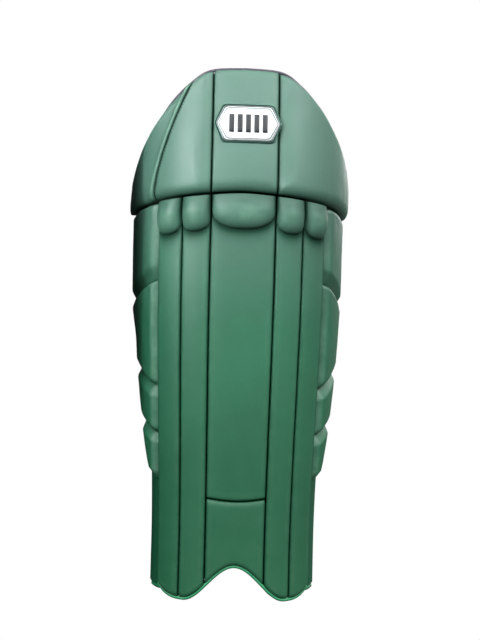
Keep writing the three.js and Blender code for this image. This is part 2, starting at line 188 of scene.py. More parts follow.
def back_end(z):
    """The arc where the boards and lining end at a height."""
    return np.maximum(ANKLE_FLAP_ARC, wing_end(z) + 2)


def board_depth(arc):
    return np.interp(
        np.abs(arc), [FACE_ROLL_ARC, EDGE_ROLL_ARC, EDGE_ROLL_ARC + 20], [FACE_DEPTH, EDGE_DEPTH, WING_DEPTH]
    )


def lining_front(arc):
    return -board_depth(arc) - BOARD_THICKNESS - GAP


def lining_back(arc):
    return lining_front(arc) - LINING_THICKNESS


def clear_of_fold(arc):
    """The upper edge of what lies behind the shin's padding, cut back where the top section turns past it."""
    y = on_leg(arc, FOLD_AXIS[1], lining_back(arc))[..., 1] * 1000 + CUSHION_FACE_DEPTH
    swept = FOLD_AXIS[1] - 2 - FOLD_CLEARANCE_SLOPE * np.maximum(0, y - FOLD_AXIS[0])
    return np.minimum(fold_height(arc) - 2, swept)


# --- Small noises, the same every run ---


def lattice(i, j, seed):
    value = np.sin(i * 12.9898 + j * 78.233 + seed * 37.719) * 43758.5453
    return value - np.floor(value)


def noise(x, y=0.0, seed=0):
    """Smooth noise from -1 to 1, one unit to a bump."""
    x, y = np.broadcast_arrays(np.asarray(x, float), np.asarray(y, float))
    i, j = np.floor(x), np.floor(y)
    s, t = smooth(x - i), smooth(y - j)
    low = lattice(i, j, seed) * (1 - s) + lattice(i + 1, j, seed) * s
    high = lattice(i, j + 1, seed) * (1 - s) + lattice(i + 1, j + 1, seed) * s
    return 2 * (low * (1 - t) + high * t) - 1


# --- Materials ---


def linear(red, green, blue):
    """Linear colour from 0-255 values."""
    out = []
    for value in (red, green, blue):
        c = value / 255
        out.append(c / 12.92 if c <= 0.04045 else ((c + 0.055) / 1.055) ** 2.4)
    return (*out, 1.0)


def tinted(base, factors=(1.0, 1.0, 1.0), more=(0.0, 0.0, 0.0)):
    """A linear colour with each channel multiplied by a factor and then raised."""
    return (*(c * factor + extra for c, factor, extra in zip(base, factors, more)), 1.0)


def shaded(base, factor):
    return tinted(base, (factor,) * 3)


class Nodes:
    """A material's node tree, with short ways to add and join nodes."""

    def __init__(self, name, roughness=0.5, metallic=0.0):
        self.material = bpy.data.materials.new(name)
        self.material.use_nodes = True
        self.tree = self.material.node_tree
        self.shader = self.tree.nodes["Principled BSDF"]
        self.shader.inputs["Roughness"].default_value = roughness
        self.shader.inputs["Metallic"].default_value = metallic
        self.place = self.add("ShaderNodeTexCoord").outputs["Object"]

    def add(self, kind, links=(), **values):
        node = self.tree.nodes.new(kind)
        for key, value in values.items():
            if key in node.inputs:
                node.inputs[key].default_value = value
            else:
                setattr(node, key, value)
        for name, socket in dict(links).items():
            self.tree.links.new(socket, node.inputs[name])
        return node

    def scaled(self, scale):
        return self.add("ShaderNodeMapping", {"Vector": self.place}, Scale=scale).outputs["Vector"]

    def noise(self, scale, detail=2.0, vector=None):
        place = vector or self.place
        return self.add("ShaderNodeTexNoise", {"Vector": place}, Scale=scale, Detail=detail).outputs["Fac"]

    def cells(self, scale):
        return self.add("ShaderNodeTexVoronoi", {"Vector": self.place}, Scale=scale).outputs["Distance"]

    def waves(self, scale, direction, distortion=0.0):
        node = self.add("ShaderNodeTexWave", {"Vector": self.place}, Scale=scale, Distortion=distortion)
        node.bands_direction = direction
        return node.outputs["Fac"]

    def attribute(self, name):
        return self.add("ShaderNodeAttribute", attribute_name=name).outputs["Fac"]

    def range(self, value, low, high, to_low=0.0, to_high=1.0):
        node = self.add("ShaderNodeMapRange", {"Value": value})
        for name, number in (("From Min", low), ("From Max", high), ("To Min", to_low), ("To Max", to_high)):
            node.inputs[name].default_value = number
        return node.outputs["Result"]

    def math(self, operation, a, b):
        node = self.add("ShaderNodeMath", operation=operation)
        for socket, value in zip(node.inputs, (a, b)):
            if isinstance(value, (int, float)):
                socket.default_value = value
            else:
                self.tree.links.new(value, socket)
        return node.outputs[0]

    def mix(self, share, a, b):
        node = self.add("ShaderNodeMix", data_type="RGBA")
        for socket, value in ((node.inputs[0], share), (node.inputs[6], a), (node.inputs[7], b)):
            if isinstance(value, (int, float, tuple)):
                socket.default_value = value
            else:
                self.tree.links.new(value, socket)
        return node.outputs[2]

    def bump(self, height, distance, strength=1.0, normal=None):
        links = {"Height": height}
        if normal:
            links["Normal"] = normal
        return self.add("ShaderNodeBump", links, Distance=distance, Strength=strength).outputs["Normal"]

    def finish(self, color=None, roughness=None, normal=None):
        for name, socket in (("Base Color", color), ("Roughness", roughness), ("Normal", normal)):
            if socket is not None:
                self.tree.links.new(socket, self.shader.inputs[name])
        return self.material


# The leather's colour, wear, painted sheen, painted shade, painted highlights and gloss, as factors of its own
# colour or amounts added to it.
MOTTLE_DEEP, MOTTLE_PALE, PALE_LIFT = 0.72, 1.18, 0.004
SEAM_SHADE_SHARE = 0.14
FOOT_SHADE_TINT, FOOT_SHADE_HEIGHTS, FOOT_SHADE_MOST = (0.02, 0.72, 0.46), (-0.3, 0.04), 0.6
TOP_SHEEN_LIFT, TOP_SHEEN_HEIGHTS, TOP_SHEEN_MOST = (0.092, 0.03, 0.088), (0.05, 0.22), 0.42
WEAR_AND_HIGHLIGHT_FACTOR, WEAR_AND_HIGHLIGHT_LIFT, WEAR_AND_HIGHLIGHT_RANGE = 1.4, 0.11, (0.08, 0.38)
SEAM_SPECULAR = (0.62, 0.08)


def leather(name, color, rough=0.5, grain=1.0, seam_shade_strength=0.8):
    """Grained synthetic leather: mottled, greyed at the top of the pad by a painted sheen and deepened at its
    foot by painted shade, dark and dull with painted shade (partly dirt) in the seams, pale with wear and
    painted highlights on ridges, with a fine pebble and soft creases. Heights are in the frame's metres."""
    m = Nodes(name)
    base = linear(*color)[:3]
    deep = shaded(base, MOTTLE_DEEP)
    pale = tinted(base, (MOTTLE_PALE,) * 3, (PALE_LIFT,) * 3)
    broad = m.range(m.noise(9, 3), 0.3, 0.7)
    fine = m.range(m.noise(160, 4), 0.3, 0.7)
    tone = m.mix(m.range(broad, 0, 1, 0.25, 0.75), deep, pale)
    tone = m.mix(m.range(fine, 0, 1, 0, 0.16), tone, deep)
    height = m.add("ShaderNodeSeparateXYZ", {"Vector": m.place}).outputs["Z"]
    # Painted sheen: the upper part of the pad is greyed and lightened, most from the knee up.
    tone = m.mix(m.range(height, *TOP_SHEEN_HEIGHTS, 0.0, TOP_SHEEN_MOST), tone, tinted(base, more=TOP_SHEEN_LIFT))
    # Painted shade: the lower part is deepened towards the foot.
    tone = m.mix(m.range(height, *FOOT_SHADE_HEIGHTS, FOOT_SHADE_MOST, 0.0), tone, tinted(base, FOOT_SHADE_TINT))
    # Painted shade, partly seam dirt, wherever the seam attribute lies: seams, grooves, under lips and knee
    # rolls.
    tone = m.mix(m.math("MULTIPLY", m.attribute("seam"), seam_shade_strength), tone, shaded(base, SEAM_SHADE_SHARE))
    # Pale wear on rims and strap edges, and painted highlights on knee rolls, wing facets and the inside ridge.
    wear_and_highlight = m.math("MULTIPLY", m.attribute("wear_and_highlight"), m.range(m.noise(70, 5), 0.35, 0.75, *WEAR_AND_HIGHLIGHT_RANGE))
    tone = m.mix(wear_and_highlight, tone, tinted(base, (WEAR_AND_HIGHLIGHT_FACTOR,) * 3, (WEAR_AND_HIGHLIGHT_LIFT,) * 3))
    creases = m.noise(240, 5, m.scaled((1.0, 1.0, 0.6)))
    normal = m.bump(m.cells(900), 0.00012, 0.35 * grain)
    normal = m.bump(creases, 0.0005, 0.28 * grain, normal)
    gloss = m.range(m.noise(45, 4), 0.3, 0.7, rough - 0.05, rough + 0.07)
    # Less specular where the painted seam shade lies, so that it stays dark.
    specular = m.range(m.attribute("seam"), 0, 0.8, *SEAM_SPECULAR)
    m.tree.links.new(specular, m.shader.inputs["Specular IOR Level"])
    return m.finish(tone, gloss, normal)


def knit(name, color, scale=1.0):
    """Brushed knit cloth: rows of loops with a soft fuzz over them, and painted shade in its seams."""
    m = Nodes(name, 0.95)
    base = linear(*color)[:3]
    rows = m.waves(380 * scale, "X", 0.6)
    courses = m.waves(300 * scale, "Z", 0.6)
    weave = m.math("MULTIPLY", rows, courses)
    fuzz = m.noise(700, 6)
    tone = m.mix(m.range(weave, 0, 1, 0.15, 0.6), shaded(base, 0.6), tinted(base))
    tone = m.mix(m.range(m.noise(14, 4), 0.35, 0.7, 0, 0.3), tone, shaded(base, 1.35))
    # Painted shade along sewn lines, rims and hidden faces.
    tone = m.mix(m.math("MULTIPLY", m.attribute("seam"), 0.7), tone, shaded(base, 0.3))
    normal = m.bump(fuzz, 0.0004, 0.5, m.bump(weave, 0.0005, 0.7))
    m.shader.inputs["Sheen Weight"].default_value = 0.35
    m.shader.inputs["Sheen Roughness"].default_value = 0.6
    m.shader.inputs["Specular IOR Level"].default_value = 0.2
    return m.finish(tone, None, normal)


def hook_tape(name, scale, fuzzy):
    """Hook tape has crisp rows of hooks, loop tape a felted nap."""
    m = Nodes(name, 0.8)
    dots = m.cells(scale)
    nap = m.noise(900, 6)
    height = m.math("MULTIPLY", dots, nap) if fuzzy else dots
    tone = m.mix(m.range(height, 0.1, 0.8), linear(22, 23, 24), linear(58, 60, 62))
    return m.finish(tone, m.range(nap, 0.3, 0.7, 0.6, 0.95), m.bump(height, 0.0006, 0.8))


def foam_material(name, color):
    """Open foam, yellowed in patches."""
    m = Nodes(name, 0.95)
    base = linear(*color)[:3]
    pores = m.cells(420)
    tone = m.mix(m.range(pores, 0.0, 0.6), shaded(base, 0.6), tinted(base))
    tone = m.mix(m.range(m.noise(20, 3), 0.3, 0.7, 0, 0.35), tone, linear(190, 170, 120))
    return m.finish(tone, None, m.bump(pores, 0.0008, 0.7))


def cane_material():
    """The cane rods' green cloth sleeves: long fibres, darker at the bindings."""
    m = Nodes("cane", 0.45)
    fibres = m.noise(90, 5, m.scaled((14.0, 14.0, 0.5)))
    rings = m.waves(1.6, "Z", 1.5)
    tone = m.mix(m.range(fibres, 0.3, 0.7), linear(20, 54, 42), linear(30, 74, 56))
    tone = m.mix(m.range(rings, 0.93, 1.0, 0, 0.7), tone, linear(12, 36, 28))
    return m.finish(tone, m.range(fibres, 0.3, 0.7, 0.35, 0.6), m.bump(fibres, 0.0004, 0.5))


def brushed_metal(name):
    m = Nodes(name, 0.3, 1.0)
    brush = m.noise(160, 4, m.scaled((0.4, 8.0, 8.0)))
    tone = m.mix(m.range(brush, 0.3, 0.7), linear(84, 94, 92), linear(126, 136, 134))
    return m.finish(tone, m.range(brush, 0.3, 0.7, 0.24, 0.42), m.bump(brush, 0.0001, 0.3))


def moulded(name, color, rough):
    """Moulded rubbery plastic with a faint mould texture and handling marks."""
    m = Nodes(name, rough)
    base = linear(*color)[:3]
    marks = m.noise(60, 6)
    tone = m.mix(m.range(marks, 0.35, 0.75, 0, 0.25), tinted(base), shaded(base, 0.8))
    return m.finish(tone, m.range(marks, 0.3, 0.7, rough, rough + 0.12), m.bump(m.noise(1400, 2), 0.00008, 0.3))


COVER = leather("green_leather", (33, 99, 70))
BACKING = leather("backing_leather", (42, 114, 84), 0.52)
BINDING = leather("binding_leather", (12, 34, 27), 0.5)
PIPING = leather("piping_leather", (66, 158, 116), 0.42, 0.7)
PIPING_DARK = leather("wing_piping_leather", (44, 120, 86), 0.44, 0.7)
STRAP_LEATHER = leather("strap_leather", (42, 100, 76), 0.48)
LINING_KNIT = knit("lining_knit", (38, 86, 68))
CUSHION_KNIT = knit("cushion_knit", (52, 112, 88), 0.85)
GUSSET_KNIT = knit("gusset_knit", (30, 72, 57), 1.2)
THREAD = moulded("thread", (92, 150, 124), 0.7)
DARK_THREAD = moulded("dark_thread", (20, 44, 36), 0.75)
HOOKS = hook_tape("hook_tape", 700, False)
LOOPS = hook_tape("loop_tape", 420, True)
BOARD = foam_material("board_foam", (62, 64, 62))
FOAM = foam_material("soft_foam", (222, 214, 184))
CANE = cane_material()
RIM = brushed_metal("badge_rim_metal")
BADGE_WHITE = moulded("badge_white", (222, 222, 220), 0.3)
BADGE_DARK = moulded("badge_dark", (26, 26, 30), 0.35)
BADGE_SURROUND = leather("badge_surround", (60, 122, 98), 0.4, 0.5)

# --- Making meshes ---

PIECES = {}
JOBS = []  # Each piece with the body it rides on.


def settle(name, obj, body, slot=None, fill=None):
    """A piece stands for the solid of its own name, if there is one; fill is not used."""
    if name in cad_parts:
        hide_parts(name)
    JOBS.append((obj, body))


# Each piece carries painted shade in its seams and grooves (partly seam dirt), and pale wear with painted
# highlights.
def new_object(name, points, faces, material, seam=None, wear_and_highlight=None):
    mesh = bpy.data.meshes.new(name)
    mesh.from_pydata(np.asarray(points, float).reshape(-1, 3).tolist(), [], faces)
    for label, values in (("seam", seam), ("wear_and_highlight", wear_and_highlight)):
        attribute = mesh.attributes.new(label, "FLOAT", "POINT")
        if values is not None:
            attribute.data.foreach_set("value", np.asarray(values, np.float32).ravel())
    mesh.shade_smooth()
    mesh.materials.append(material)
    obj = bpy.data.objects.new(f"{name}_look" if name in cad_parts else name, mesh)
    bpy.context.scene.collection.objects.link(obj)
    PIECES[name] = obj
    return obj


def steps(length, pitch, ends=(0.0, 0.7, 1.6, 2.8, 4.4, 6.4, 9.0, 12.0)):
    """Shares from 0 to 1 along a length in millimetres, closer together near both ends."""
    near = np.array([e for e in ends if e < length * 0.45])
    middle = np.linspace(near[-1], length - near[-1], max(2, round((length - 2 * near[-1]) / pitch) + 1))
    return np.concatenate([near[:-1], middle, (length - near[:-1])[::-1]]) / length


def shell(name, place, us, vs, material, walls=4):
    """A closed skin: a front and a back grid over shares us and vs, joined by walls round the border.
    place(u, v, w) returns points, painted seam shade, and pale wear with painted highlights, for w from 0 at
    the back to 1 at the front."""
    nu, nv = len(us), len(vs)
    u, v = np.meshgrid(us, vs, indexing="ij")
    border = (
        [(i, 0) for i in range(nu - 1)]
        + [(nu - 1, j) for j in range(nv - 1)]
        + [(i, nv - 1) for i in range(nu - 1, 0, -1)]
        + [(0, j) for j in range(nv - 1, 0, -1)]
    )
    bi, bj = np.array(border).T
    parts = [place(u.ravel(), v.ravel(), np.ones(u.size)), place(u.ravel(), v.ravel(), np.zeros(u.size))]
    for k in range(1, walls):
        parts.append(place(us[bi], vs[bj], np.full(len(bi), 1 - k / walls)))
    points = np.concatenate([p[0].reshape(-1, 3) for p in parts])
    seam = np.concatenate([np.broadcast_to(p[1], p[0].shape[:-1]).ravel() for p in parts])
    wear_and_highlight = np.concatenate([np.broadcast_to(p[2], p[0].shape[:-1]).ravel() for p in parts])
    faces = []
    grid = nu * nv
    for i in range(nu - 1):
        for j in range(nv - 1):
            a, b, c, d = i * nv + j, (i + 1) * nv + j, (i + 1) * nv + j + 1, i * nv + j + 1
            faces.append((a, b, c, d))
            faces.append((grid + d, grid + c, grid + b, grid + a))
    rings = [[i * nv + j for i, j in border]]
    for k in range(walls - 1):
        start = 2 * grid + k * len(border)
        rings.append(list(range(start, start + len(border))))
    rings.append([grid + i * nv + j for i, j in border])
    for upper, lower in zip(rings, rings[1:]):
        for k in range(len(border)):
            n = (k + 1) % len(border)
            faces.append((upper[k], lower[k], lower[n], upper[n]))
    return new_object(name, points, faces, material, seam, wear_and_highlight)


SEAM_WIDTH = 1.5


def rounded(distance, radius):
    """How far a padded face has fallen at a rim, as a share: 0 inside, 1 at the very edge."""
    return 1 - np.sqrt(1 - np.clip(1 - distance / radius, 0, 1) ** 2 * 0.998)


def cover(
    name, body, arcs, heights, back, front, radii, drops, material=COVER, slot="green_leather",
    pucker=0.35, pitch=(3.5, 3.5), fill=0.8, seed=0, dark=(1, 1, 1, 1), shade=None, highlight=None,
):
    """A padded cover with puckered seams. Its rims (left, right, low, high) are rounded over radii by drops,
    and darkened with painted shade by dark. Over arcs and heights, shade adds painted shade and the last
    function adds a painted highlight."""
    mid_low, mid_high = heights(np.array(0.5 * sum(arcs(0.5))))
    width = max(float(np.ptp(arcs(np.float64(v)))) for v in (0, 0.5, 1))
    tall = float(np.max(mid_high - mid_low))

    def place(u, v, w):
        left, right = arcs(v)
        arc = left + (right - left) * u
        low, high = heights(arc)
        z = low + (high - low) * v
        distances = (arc - left, right - arc, z - low, high - z)
        falls = [drop(arc) if callable(drop) else drop for drop in drops]
        fall = sum(drop * rounded(d, r) for d, r, drop in zip(distances, radii, falls))
        side, end = np.minimum(distances[0], distances[1]), np.minimum(distances[2], distances[3])
        upright = noise(z / 5.5, np.sign(u - 0.5) * 3, seed + 1)
        level = noise(arc / 5.5, np.sign(v - 0.5) * 3, seed + 2)
        creases = np.exp(-side / 5) * np.maximum(0, upright) ** 1.5
        creases = creases + np.exp(-end / 5) * np.maximum(0, level) ** 1.5
        swell = 0.5 * noise(arc / 26, z / 34, seed + 3)
        face = front(arc, z, u, v) - fall + pucker * (swell - 1.4 * creases)
        offset = back(arc) + (face - back(arc)) * w
        tuck = np.where(w < 1, 0.9 * np.sin(np.pi * w), 0)
        arc = arc + tuck * (np.clip(1 - distances[0] / 2, 0, 1) - np.clip(1 - distances[1] / 2, 0, 1))
        # Painted shade at the rims and in the walls and back, with any shade passed in; pale wear on the
        # rounded rims, with any painted highlight passed in.
        seam = np.max([share * np.exp(-d / SEAM_WIDTH) for share, d in zip(dark, distances)], axis=0)
        seam = np.maximum(seam, shade(arc, z)) if shade else seam
        wear_and_highlight = 0.3 * np.exp(-(((fall - 0.8) / 1.2) ** 2)) * (w == 1) * (np.minimum(side, end) < 9)
        wear_and_highlight = np.maximum(wear_and_highlight, highlight(arc, z)) if highlight else wear_and_highlight
        return on_leg(arc, z, offset), np.where(w < 0.9, 1.0, seam), wear_and_highlight

    settle(name, shell(name, place, steps(width, pitch[0]), steps(tall, pitch[1]), material), body, slot, fill)


def tube(name, body, points, radius, material, slot, resolution=5):
    """A round cord of a radius in metres through points."""
    curve = bpy.data.curves.new(name, "CURVE")
    curve.dimensions = "3D"
    curve.bevel_depth = radius
    curve.bevel_resolution = resolution
    curve.use_fill_caps = True
    line = curve.splines.new("POLY")
    line.points.add(len(points) - 1)
    for point, (x, y, z) in zip(line.points, points):
        point.co = (x, y, z, 1)
    line.use_smooth = True
    curve.materials.append(material)
    obj = bpy.data.objects.new(f"{name}_look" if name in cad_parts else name, curve)
    bpy.context.scene.collection.objects.link(obj)
    settle(name, obj, body, slot)


def stitches(name, body, points, normals, material=THREAD, pitch=0.0042, length=0.0029, radius=0.00042):
    """A row of thread stitches along a line of points, each sunk a little at both ends."""
    points, normals = np.asarray(points, float), np.asarray(normals, float)
    travelled = np.concatenate([[0], np.cumsum(np.linalg.norm(np.diff(points, axis=0), axis=1))])
    starts = np.arange(pitch / 2, travelled[-1] - length, pitch)

    def along(distance, values):
        return np.stack([np.interp(distance, travelled, values[:, k]) for k in range(3)], -1)

    sides, rings = 6, 5
    verts, faces = [], []
    for start in starts:
        line = along(start + length * np.linspace(0, 1, rings), points)
        up = along(np.array([start + length / 2]), normals)[0]
        up /= np.linalg.norm(up)
        ahead = line[-1] - line[0]
        ahead /= np.linalg.norm(ahead)
        across = np.cross(ahead, up)
        base = len(verts)
        for k in range(rings):
            share = math.sin(math.pi * (0.12 + 0.76 * k / (rings - 1)))
            centre = line[k] + up * radius * (1.3 * share - 0.7)
            for s in range(sides):
                angle = 2 * math.pi * s / sides
                verts.append(centre + radius * share * (math.cos(angle) * across + math.sin(angle) * up))
        for k in range(rings - 1):
            for s in range(sides):
                n = (s + 1) % sides
                a, b = base + k * sides, base + (k + 1) * sides
                faces.append((a + s, a + n, b + n, b + s))
        faces.append(tuple(base + s for s in range(sides))[::-1])
        faces.append(tuple(base + (rings - 1) * sides + s for s in range(sides)))
    settle(name, new_object(name, verts, faces, material), body)


def leg_line(arcs, heights, offsets):
    """Points along a line on the leg surface, with the outward normals there."""
    here = on_leg(arcs, heights, offsets)
    return here, on_leg(arcs, heights, np.asarray(offsets) + 1.0) - here


def mirrored(sign, near, far):
    """Two arcs of the right-hand side, or their mirror image, from low to high."""
    return (near, far) if sign > 0 else (-far, -near)


def both(low, high):
    """The same two arcs at every height."""
    return lambda v: (low + 0 * v, high + 0 * v)


# --- The face of the shin guard ---

TOE_GAP = 4.2


def cane_back(arc):
    return -board_depth(arc) + CANE_LAYER


def instep_seam(arc):
    return INSTEP_SEAM - 3.5 * np.cos(np.pi / 2 * np.clip(arc / CENTRE_ARC, -1, 1))


def knee_roll_low(arc, from_arc, to_arc, straight):
    """The curved lower edge of a knee roll."""
    across = np.clip((2 * arc - from_arc - to_arc) / (to_arc - from_arc), -1, 1)
    round_end = np.sqrt(np.clip(1 - np.abs(across) ** 2.2, 0, 1))
    return fold_height(arc) - 2.6 - (KNEE_ROLL_HEIGHT + 3) * (straight + (1 - straight) * round_end)


def shadow_below_knee_roll(from_arc, to_arc, straight):
    """Painted shadow under a knee roll, darkest right at its edge."""
    return lambda arc, z: 1.15 * np.exp(
        -(np.maximum(0, knee_roll_low(arc, from_arc, to_arc, straight) - z) / 10) ** 1.4
    )


def face_crown(height, power):
    return lambda arc, z, u, v: -height * np.abs(2 * u - 1) ** power


cover(
    "centre_shin_panel", "shin", both(-CENTRE_ARC + HALF_SEAM, CENTRE_ARC - HALF_SEAM),
    lambda arc: (instep_seam(arc) + HALF_SEAM, fold_height(arc) - 2), cane_back,
    face_crown(1.0, 4), (3, 3, 3, 5), (2.6, 2.6, 2.6, 3), seed=11, dark=(1, 1, 1, 0),
    shade=shadow_below_knee_roll(-CENTRE_ARC, CENTRE_ARC, 0.4),
)
cover(
    "instep_panel", "shin", both(-CENTRE_ARC + HALF_SEAM, CENTRE_ARC - HALF_SEAM),
    lambda arc: (bottom_edge(arc) + TOE_GAP, instep_seam(arc) - HALF_SEAM),
    lambda arc: -board_depth(arc) + GAP,
    face_crown(1.0, 4), (3, 3, 6, 7), (2.6, 2.6, 4, 3.4), seed=17, dark=(1, 1, 0.2, 1),
)
cover(
    "shin_foam_core", "shin", both(-CENTRE_ARC + 2.5, CENTRE_ARC - 2.5),
    lambda arc: (INSTEP_SEAM + 6 + 0 * arc, FOLD_HEIGHT - 12 + 0 * arc), lambda arc: -board_depth(arc) + GAP,
    lambda arc, z, u, v: -board_depth(arc) + CANE_LAYER - GAP, (1, 1, 1, 1), (0.4,) * 4, FOAM, "foam", 0.0,
    (8, 12),
)

ROLLS = (("shin_roll", CENTRE_ARC, FACE_ROLL_ARC), ("edge_roll", FACE_ROLL_ARC, EDGE_ROLL_ARC))
for number, (side, sign) in enumerate(SIDES):
    for roll, near, far in ROLLS:
        low_arc, high_arc = mirrored(sign, near + HALF_SEAM, far - HALF_SEAM)
        rims = [2.8, 2.8 if roll == "shin_roll" else 0.4]
        cover(
            f"{side}_{roll}", "shin", both(low_arc, high_arc),
            lambda arc: (bottom_edge(arc) + TOE_GAP, fold_height(arc) - 2), cane_back,
            face_crown(0.6, 3), (3.2, 3.2, 6, 5), (*rims[::sign], 4, 3),
            seed=23 + 7 * number + int(near), dark=(1, 1, 0.2, 0), shade=shadow_below_knee_roll(low_arc, high_arc, 0.7),
        )
        middle = sign * (near + far) / 2
        heights = np.linspace(70, 480, 60)
        tube(
            f"{side}_{roll}_cane", "shin",
            on_leg(middle, heights, -board_depth(middle) + CANE_LAYER / 2), CANE_DIAMETER / 2000, CANE, "cane",
        )

# --- Knee rolls: swells of the cover just under the fold ---

KNEE_ROLL_SUNK = 2.4


def knee_roll(name, from_arc, to_arc, straight, rise, seed, shape):
    """A padded bulge of the cover: it comes out from under the fold, is fullest near its round lower end, and
    melts into the roll below it. Its sides are straight for a share of its height."""
    full_at, squareness = shape
    reach = (to_arc - from_arc) / 2

    def place(u, v, w):
        across = 2 * u - 1
        arc = (from_arc + to_arc) / 2 + reach * across
        high = fold_height(arc) - 1.6
        low = knee_roll_low(arc, from_arc, to_arc, straight)
        z = low + (high - low) * v
        body = (1 - np.abs(across) ** squareness) ** 0.6
        end = np.sqrt(1 - (1 - np.clip(v / full_at, 0, 1)) ** 2)
        tuck = 1 - 0.5 * ((v - full_at) / (1 - full_at)).clip(0) ** 1.6
        puckers = 0.5 * noise(z / 4.2, arc / 18, seed) * np.exp(-(((v - 0.85) / 0.2) ** 2))
        face = (rise * end * tuck + puckers) * body - 1.2 * (1 - smooth(4 * body * end))
        edge = (1 - np.abs(across)) * reach
        # Painted shade at the sides and towards the top, under the fold; a painted highlight on the lower
        # middle.
        seam = 0.7 * np.exp(-edge / 2.2) * smooth(2 * v) + 0.45 * smooth((v - 0.3) / 0.7)
        wear_and_highlight = 1.3 * (body * end) ** 2 * np.exp(-(((v - 0.36) / 0.26) ** 2)) * (w == 1)
        return on_leg(arc, z, -KNEE_ROLL_SUNK + (face + KNEE_ROLL_SUNK) * w), seam, wear_and_highlight

    obj = shell(name, place, steps(to_arc - from_arc, 2.0), steps(KNEE_ROLL_HEIGHT, 2.0), COVER, 2)
    settle(name, obj, "shin", "green_leather", 0.9)


knee_roll("knee_cup", -CENTRE_ARC + 1.4, CENTRE_ARC - 1.4, 0.42, 11.0, 5, (0.5, 2.6))
for side, sign in SIDES:
    for roll, near, far in ROLLS:
        ends = mirrored(sign, near + 1.0, far - 1.0)
        knee_roll(f"{side}_{roll}_knee_roll", *ends, 0.7, 12.0, int(near) + sign, (0.55, 2.2))

# --- Bottom piping ---

piping_arcs = np.linspace(-PIPING_END_ARC, PIPING_END_ARC, 160)
piping_offset = -board_depth(piping_arcs) - BOARD_THICKNESS
tube(
    "bottom_piping", "shin", on_leg(piping_arcs, bottom_edge(piping_arcs) + PIPING_RADIUS, piping_offset),
    PIPING_RADIUS / 1000, PIPING, "piping",
)

toe_arcs = np.linspace(-EDGE_ROLL_ARC, EDGE_ROLL_ARC, 180)
tube("toe_piping", "shin", on_leg(toe_arcs, bottom_edge(toe_arcs) + 2.3, -5.0), 0.0021, PIPING, "piping")

# --- Wings ---

WING_SEAMS = ((411, 370), (268, 297), (207, 229), (WING_BOTTOM - 1, WING_BOTTOM + 6))
WING_START = EDGE_ROLL_ARC + 1.6
# For each segment: reach and depth of its lower chamfer, then of its upper one.
WING_CHAMFERS = ((18, 9, 4, 2), (6, 3.5, 4, 3), (5, 3.5, 14, 10), (12, 8, 13, 10))


def wing_seam(seam, arc):
    at_face, at_rear = seam
    share = (np.abs(arc) - EDGE_ROLL_ARC) / (wing_end(at_rear) - EDGE_ROLL_ARC)
    return at_face + (at_rear - at_face) * np.clip(share, 0, 1)


def wing_pad(side, sign, index):
    seam = WING_SEAMS[index]
    low_reach, low_depth, high_reach, high_depth = WING_CHAMFERS[index]
    low_z = seam[1]
    high_z = WING_FULL if index == 0 else WING_SEAMS[index - 1][1]

    def arcs(v):
        end = wing_end(low_z + (high_z - low_z) * v)
        return mirrored(sign, WING_START + 0 * end, end)

    def heights(arc):
        above = fold_height(arc) - 2 if index == 0 else wing_seam(WING_SEAMS[index - 1], arc) - HALF_SEAM
        return wing_seam(seam, arc) + HALF_SEAM, above

    def front(arc, z, u, v):
        d = np.abs(arc) - WING_START
        low, high = heights(arc)
        facet = np.interp(d, [0, 1.0, 9.0, 10.5, 14], [-8.0, -6.6, 1.0, 2.0, 2.4])
        chamfer = low_depth * np.clip(1 - (z - low) / low_reach, 0, 1) + high_depth * np.clip(
            1 - (high - z) / high_reach, 0, 1
        )
        fuller = 3.6 * smooth((d - 12) / 40) * smooth((z - 320) / 60) if sign < 0 and index < 2 else 0
        return facet + fuller - chamfer * np.interp(d, [0, 9], [0.75, 1])

    near, far = mirrored(sign, 2.5, 9)
    # The front facet beside the edge roll gets a painted highlight.
    cover(
        f"{side}_wing_pad_{index + 1}", "shin", arcs, heights, lambda arc: -board_depth(arc) + GAP, front,
        (abs(near), abs(far), 2, 2), (1.5 if sign > 0 else 4, 4 if sign > 0 else 1.5, 1.6, 1.6),
        seed=51 + 5 * index + sign, pitch=(2.2, 2.2), fill=0.85,
        dark=(0.8, 0.8, 0.8, 0 if index == 0 else 0.8),
        highlight=lambda arc, z: 1.3 * np.exp(-(((np.abs(arc) - WING_START - 5.5) / 4) ** 4)),
    )


for side, sign in SIDES:
    for index in range(4):
        wing_pad(side, sign, index)


SHEET_TALL = 520.0


def sheet_like(name, body, arcs, heights, back, front, material, slot, pitch=6, relief=None, fill=None):
    """A board or lining: a thin layer whose leg side may carry relief."""

    def place(u, v, w):
        left, right = arcs(v)
        arc = left + (right - left) * u
        low, high = heights(arc)
        z = low + (high - low) * v
        edge = np.minimum(np.minimum(arc - left, right - arc), np.minimum(z - low, high - z))
        depth, seam = relief(arc, z, edge) if relief else (0 * arc, np.exp(-edge / 3))
        offset = back(arc) + depth + (front(arc) - back(arc) - depth) * w
        # Painted shade: even over the faces turned away from the leg, and along the relief or the rim on the
        # leg side.
        return on_leg(arc, z, offset), np.where(w > 0, 0.6, seam), 0 * arc

    width = float(np.ptp(arcs(np.float64(0.8))))
    obj = shell(name, place, steps(width, pitch), steps(SHEET_TALL, pitch), material, 2)
    settle(name, obj, body, slot, fill)


def shin_heights(arc):
    return lower_edge(arc), clear_of_fold(arc)


def rear_end(v, top):
    """Where a board or lining ends, at a share of the height from the solids' flap bottom to a top."""
    return back_end(SOLID_FLAP_BOTTOM + (top - SOLID_FLAP_BOTTOM) * v)


def board_back(arc):
    return -board_depth(arc) - BOARD_THICKNESS


CHANNEL_WIDTH = 24


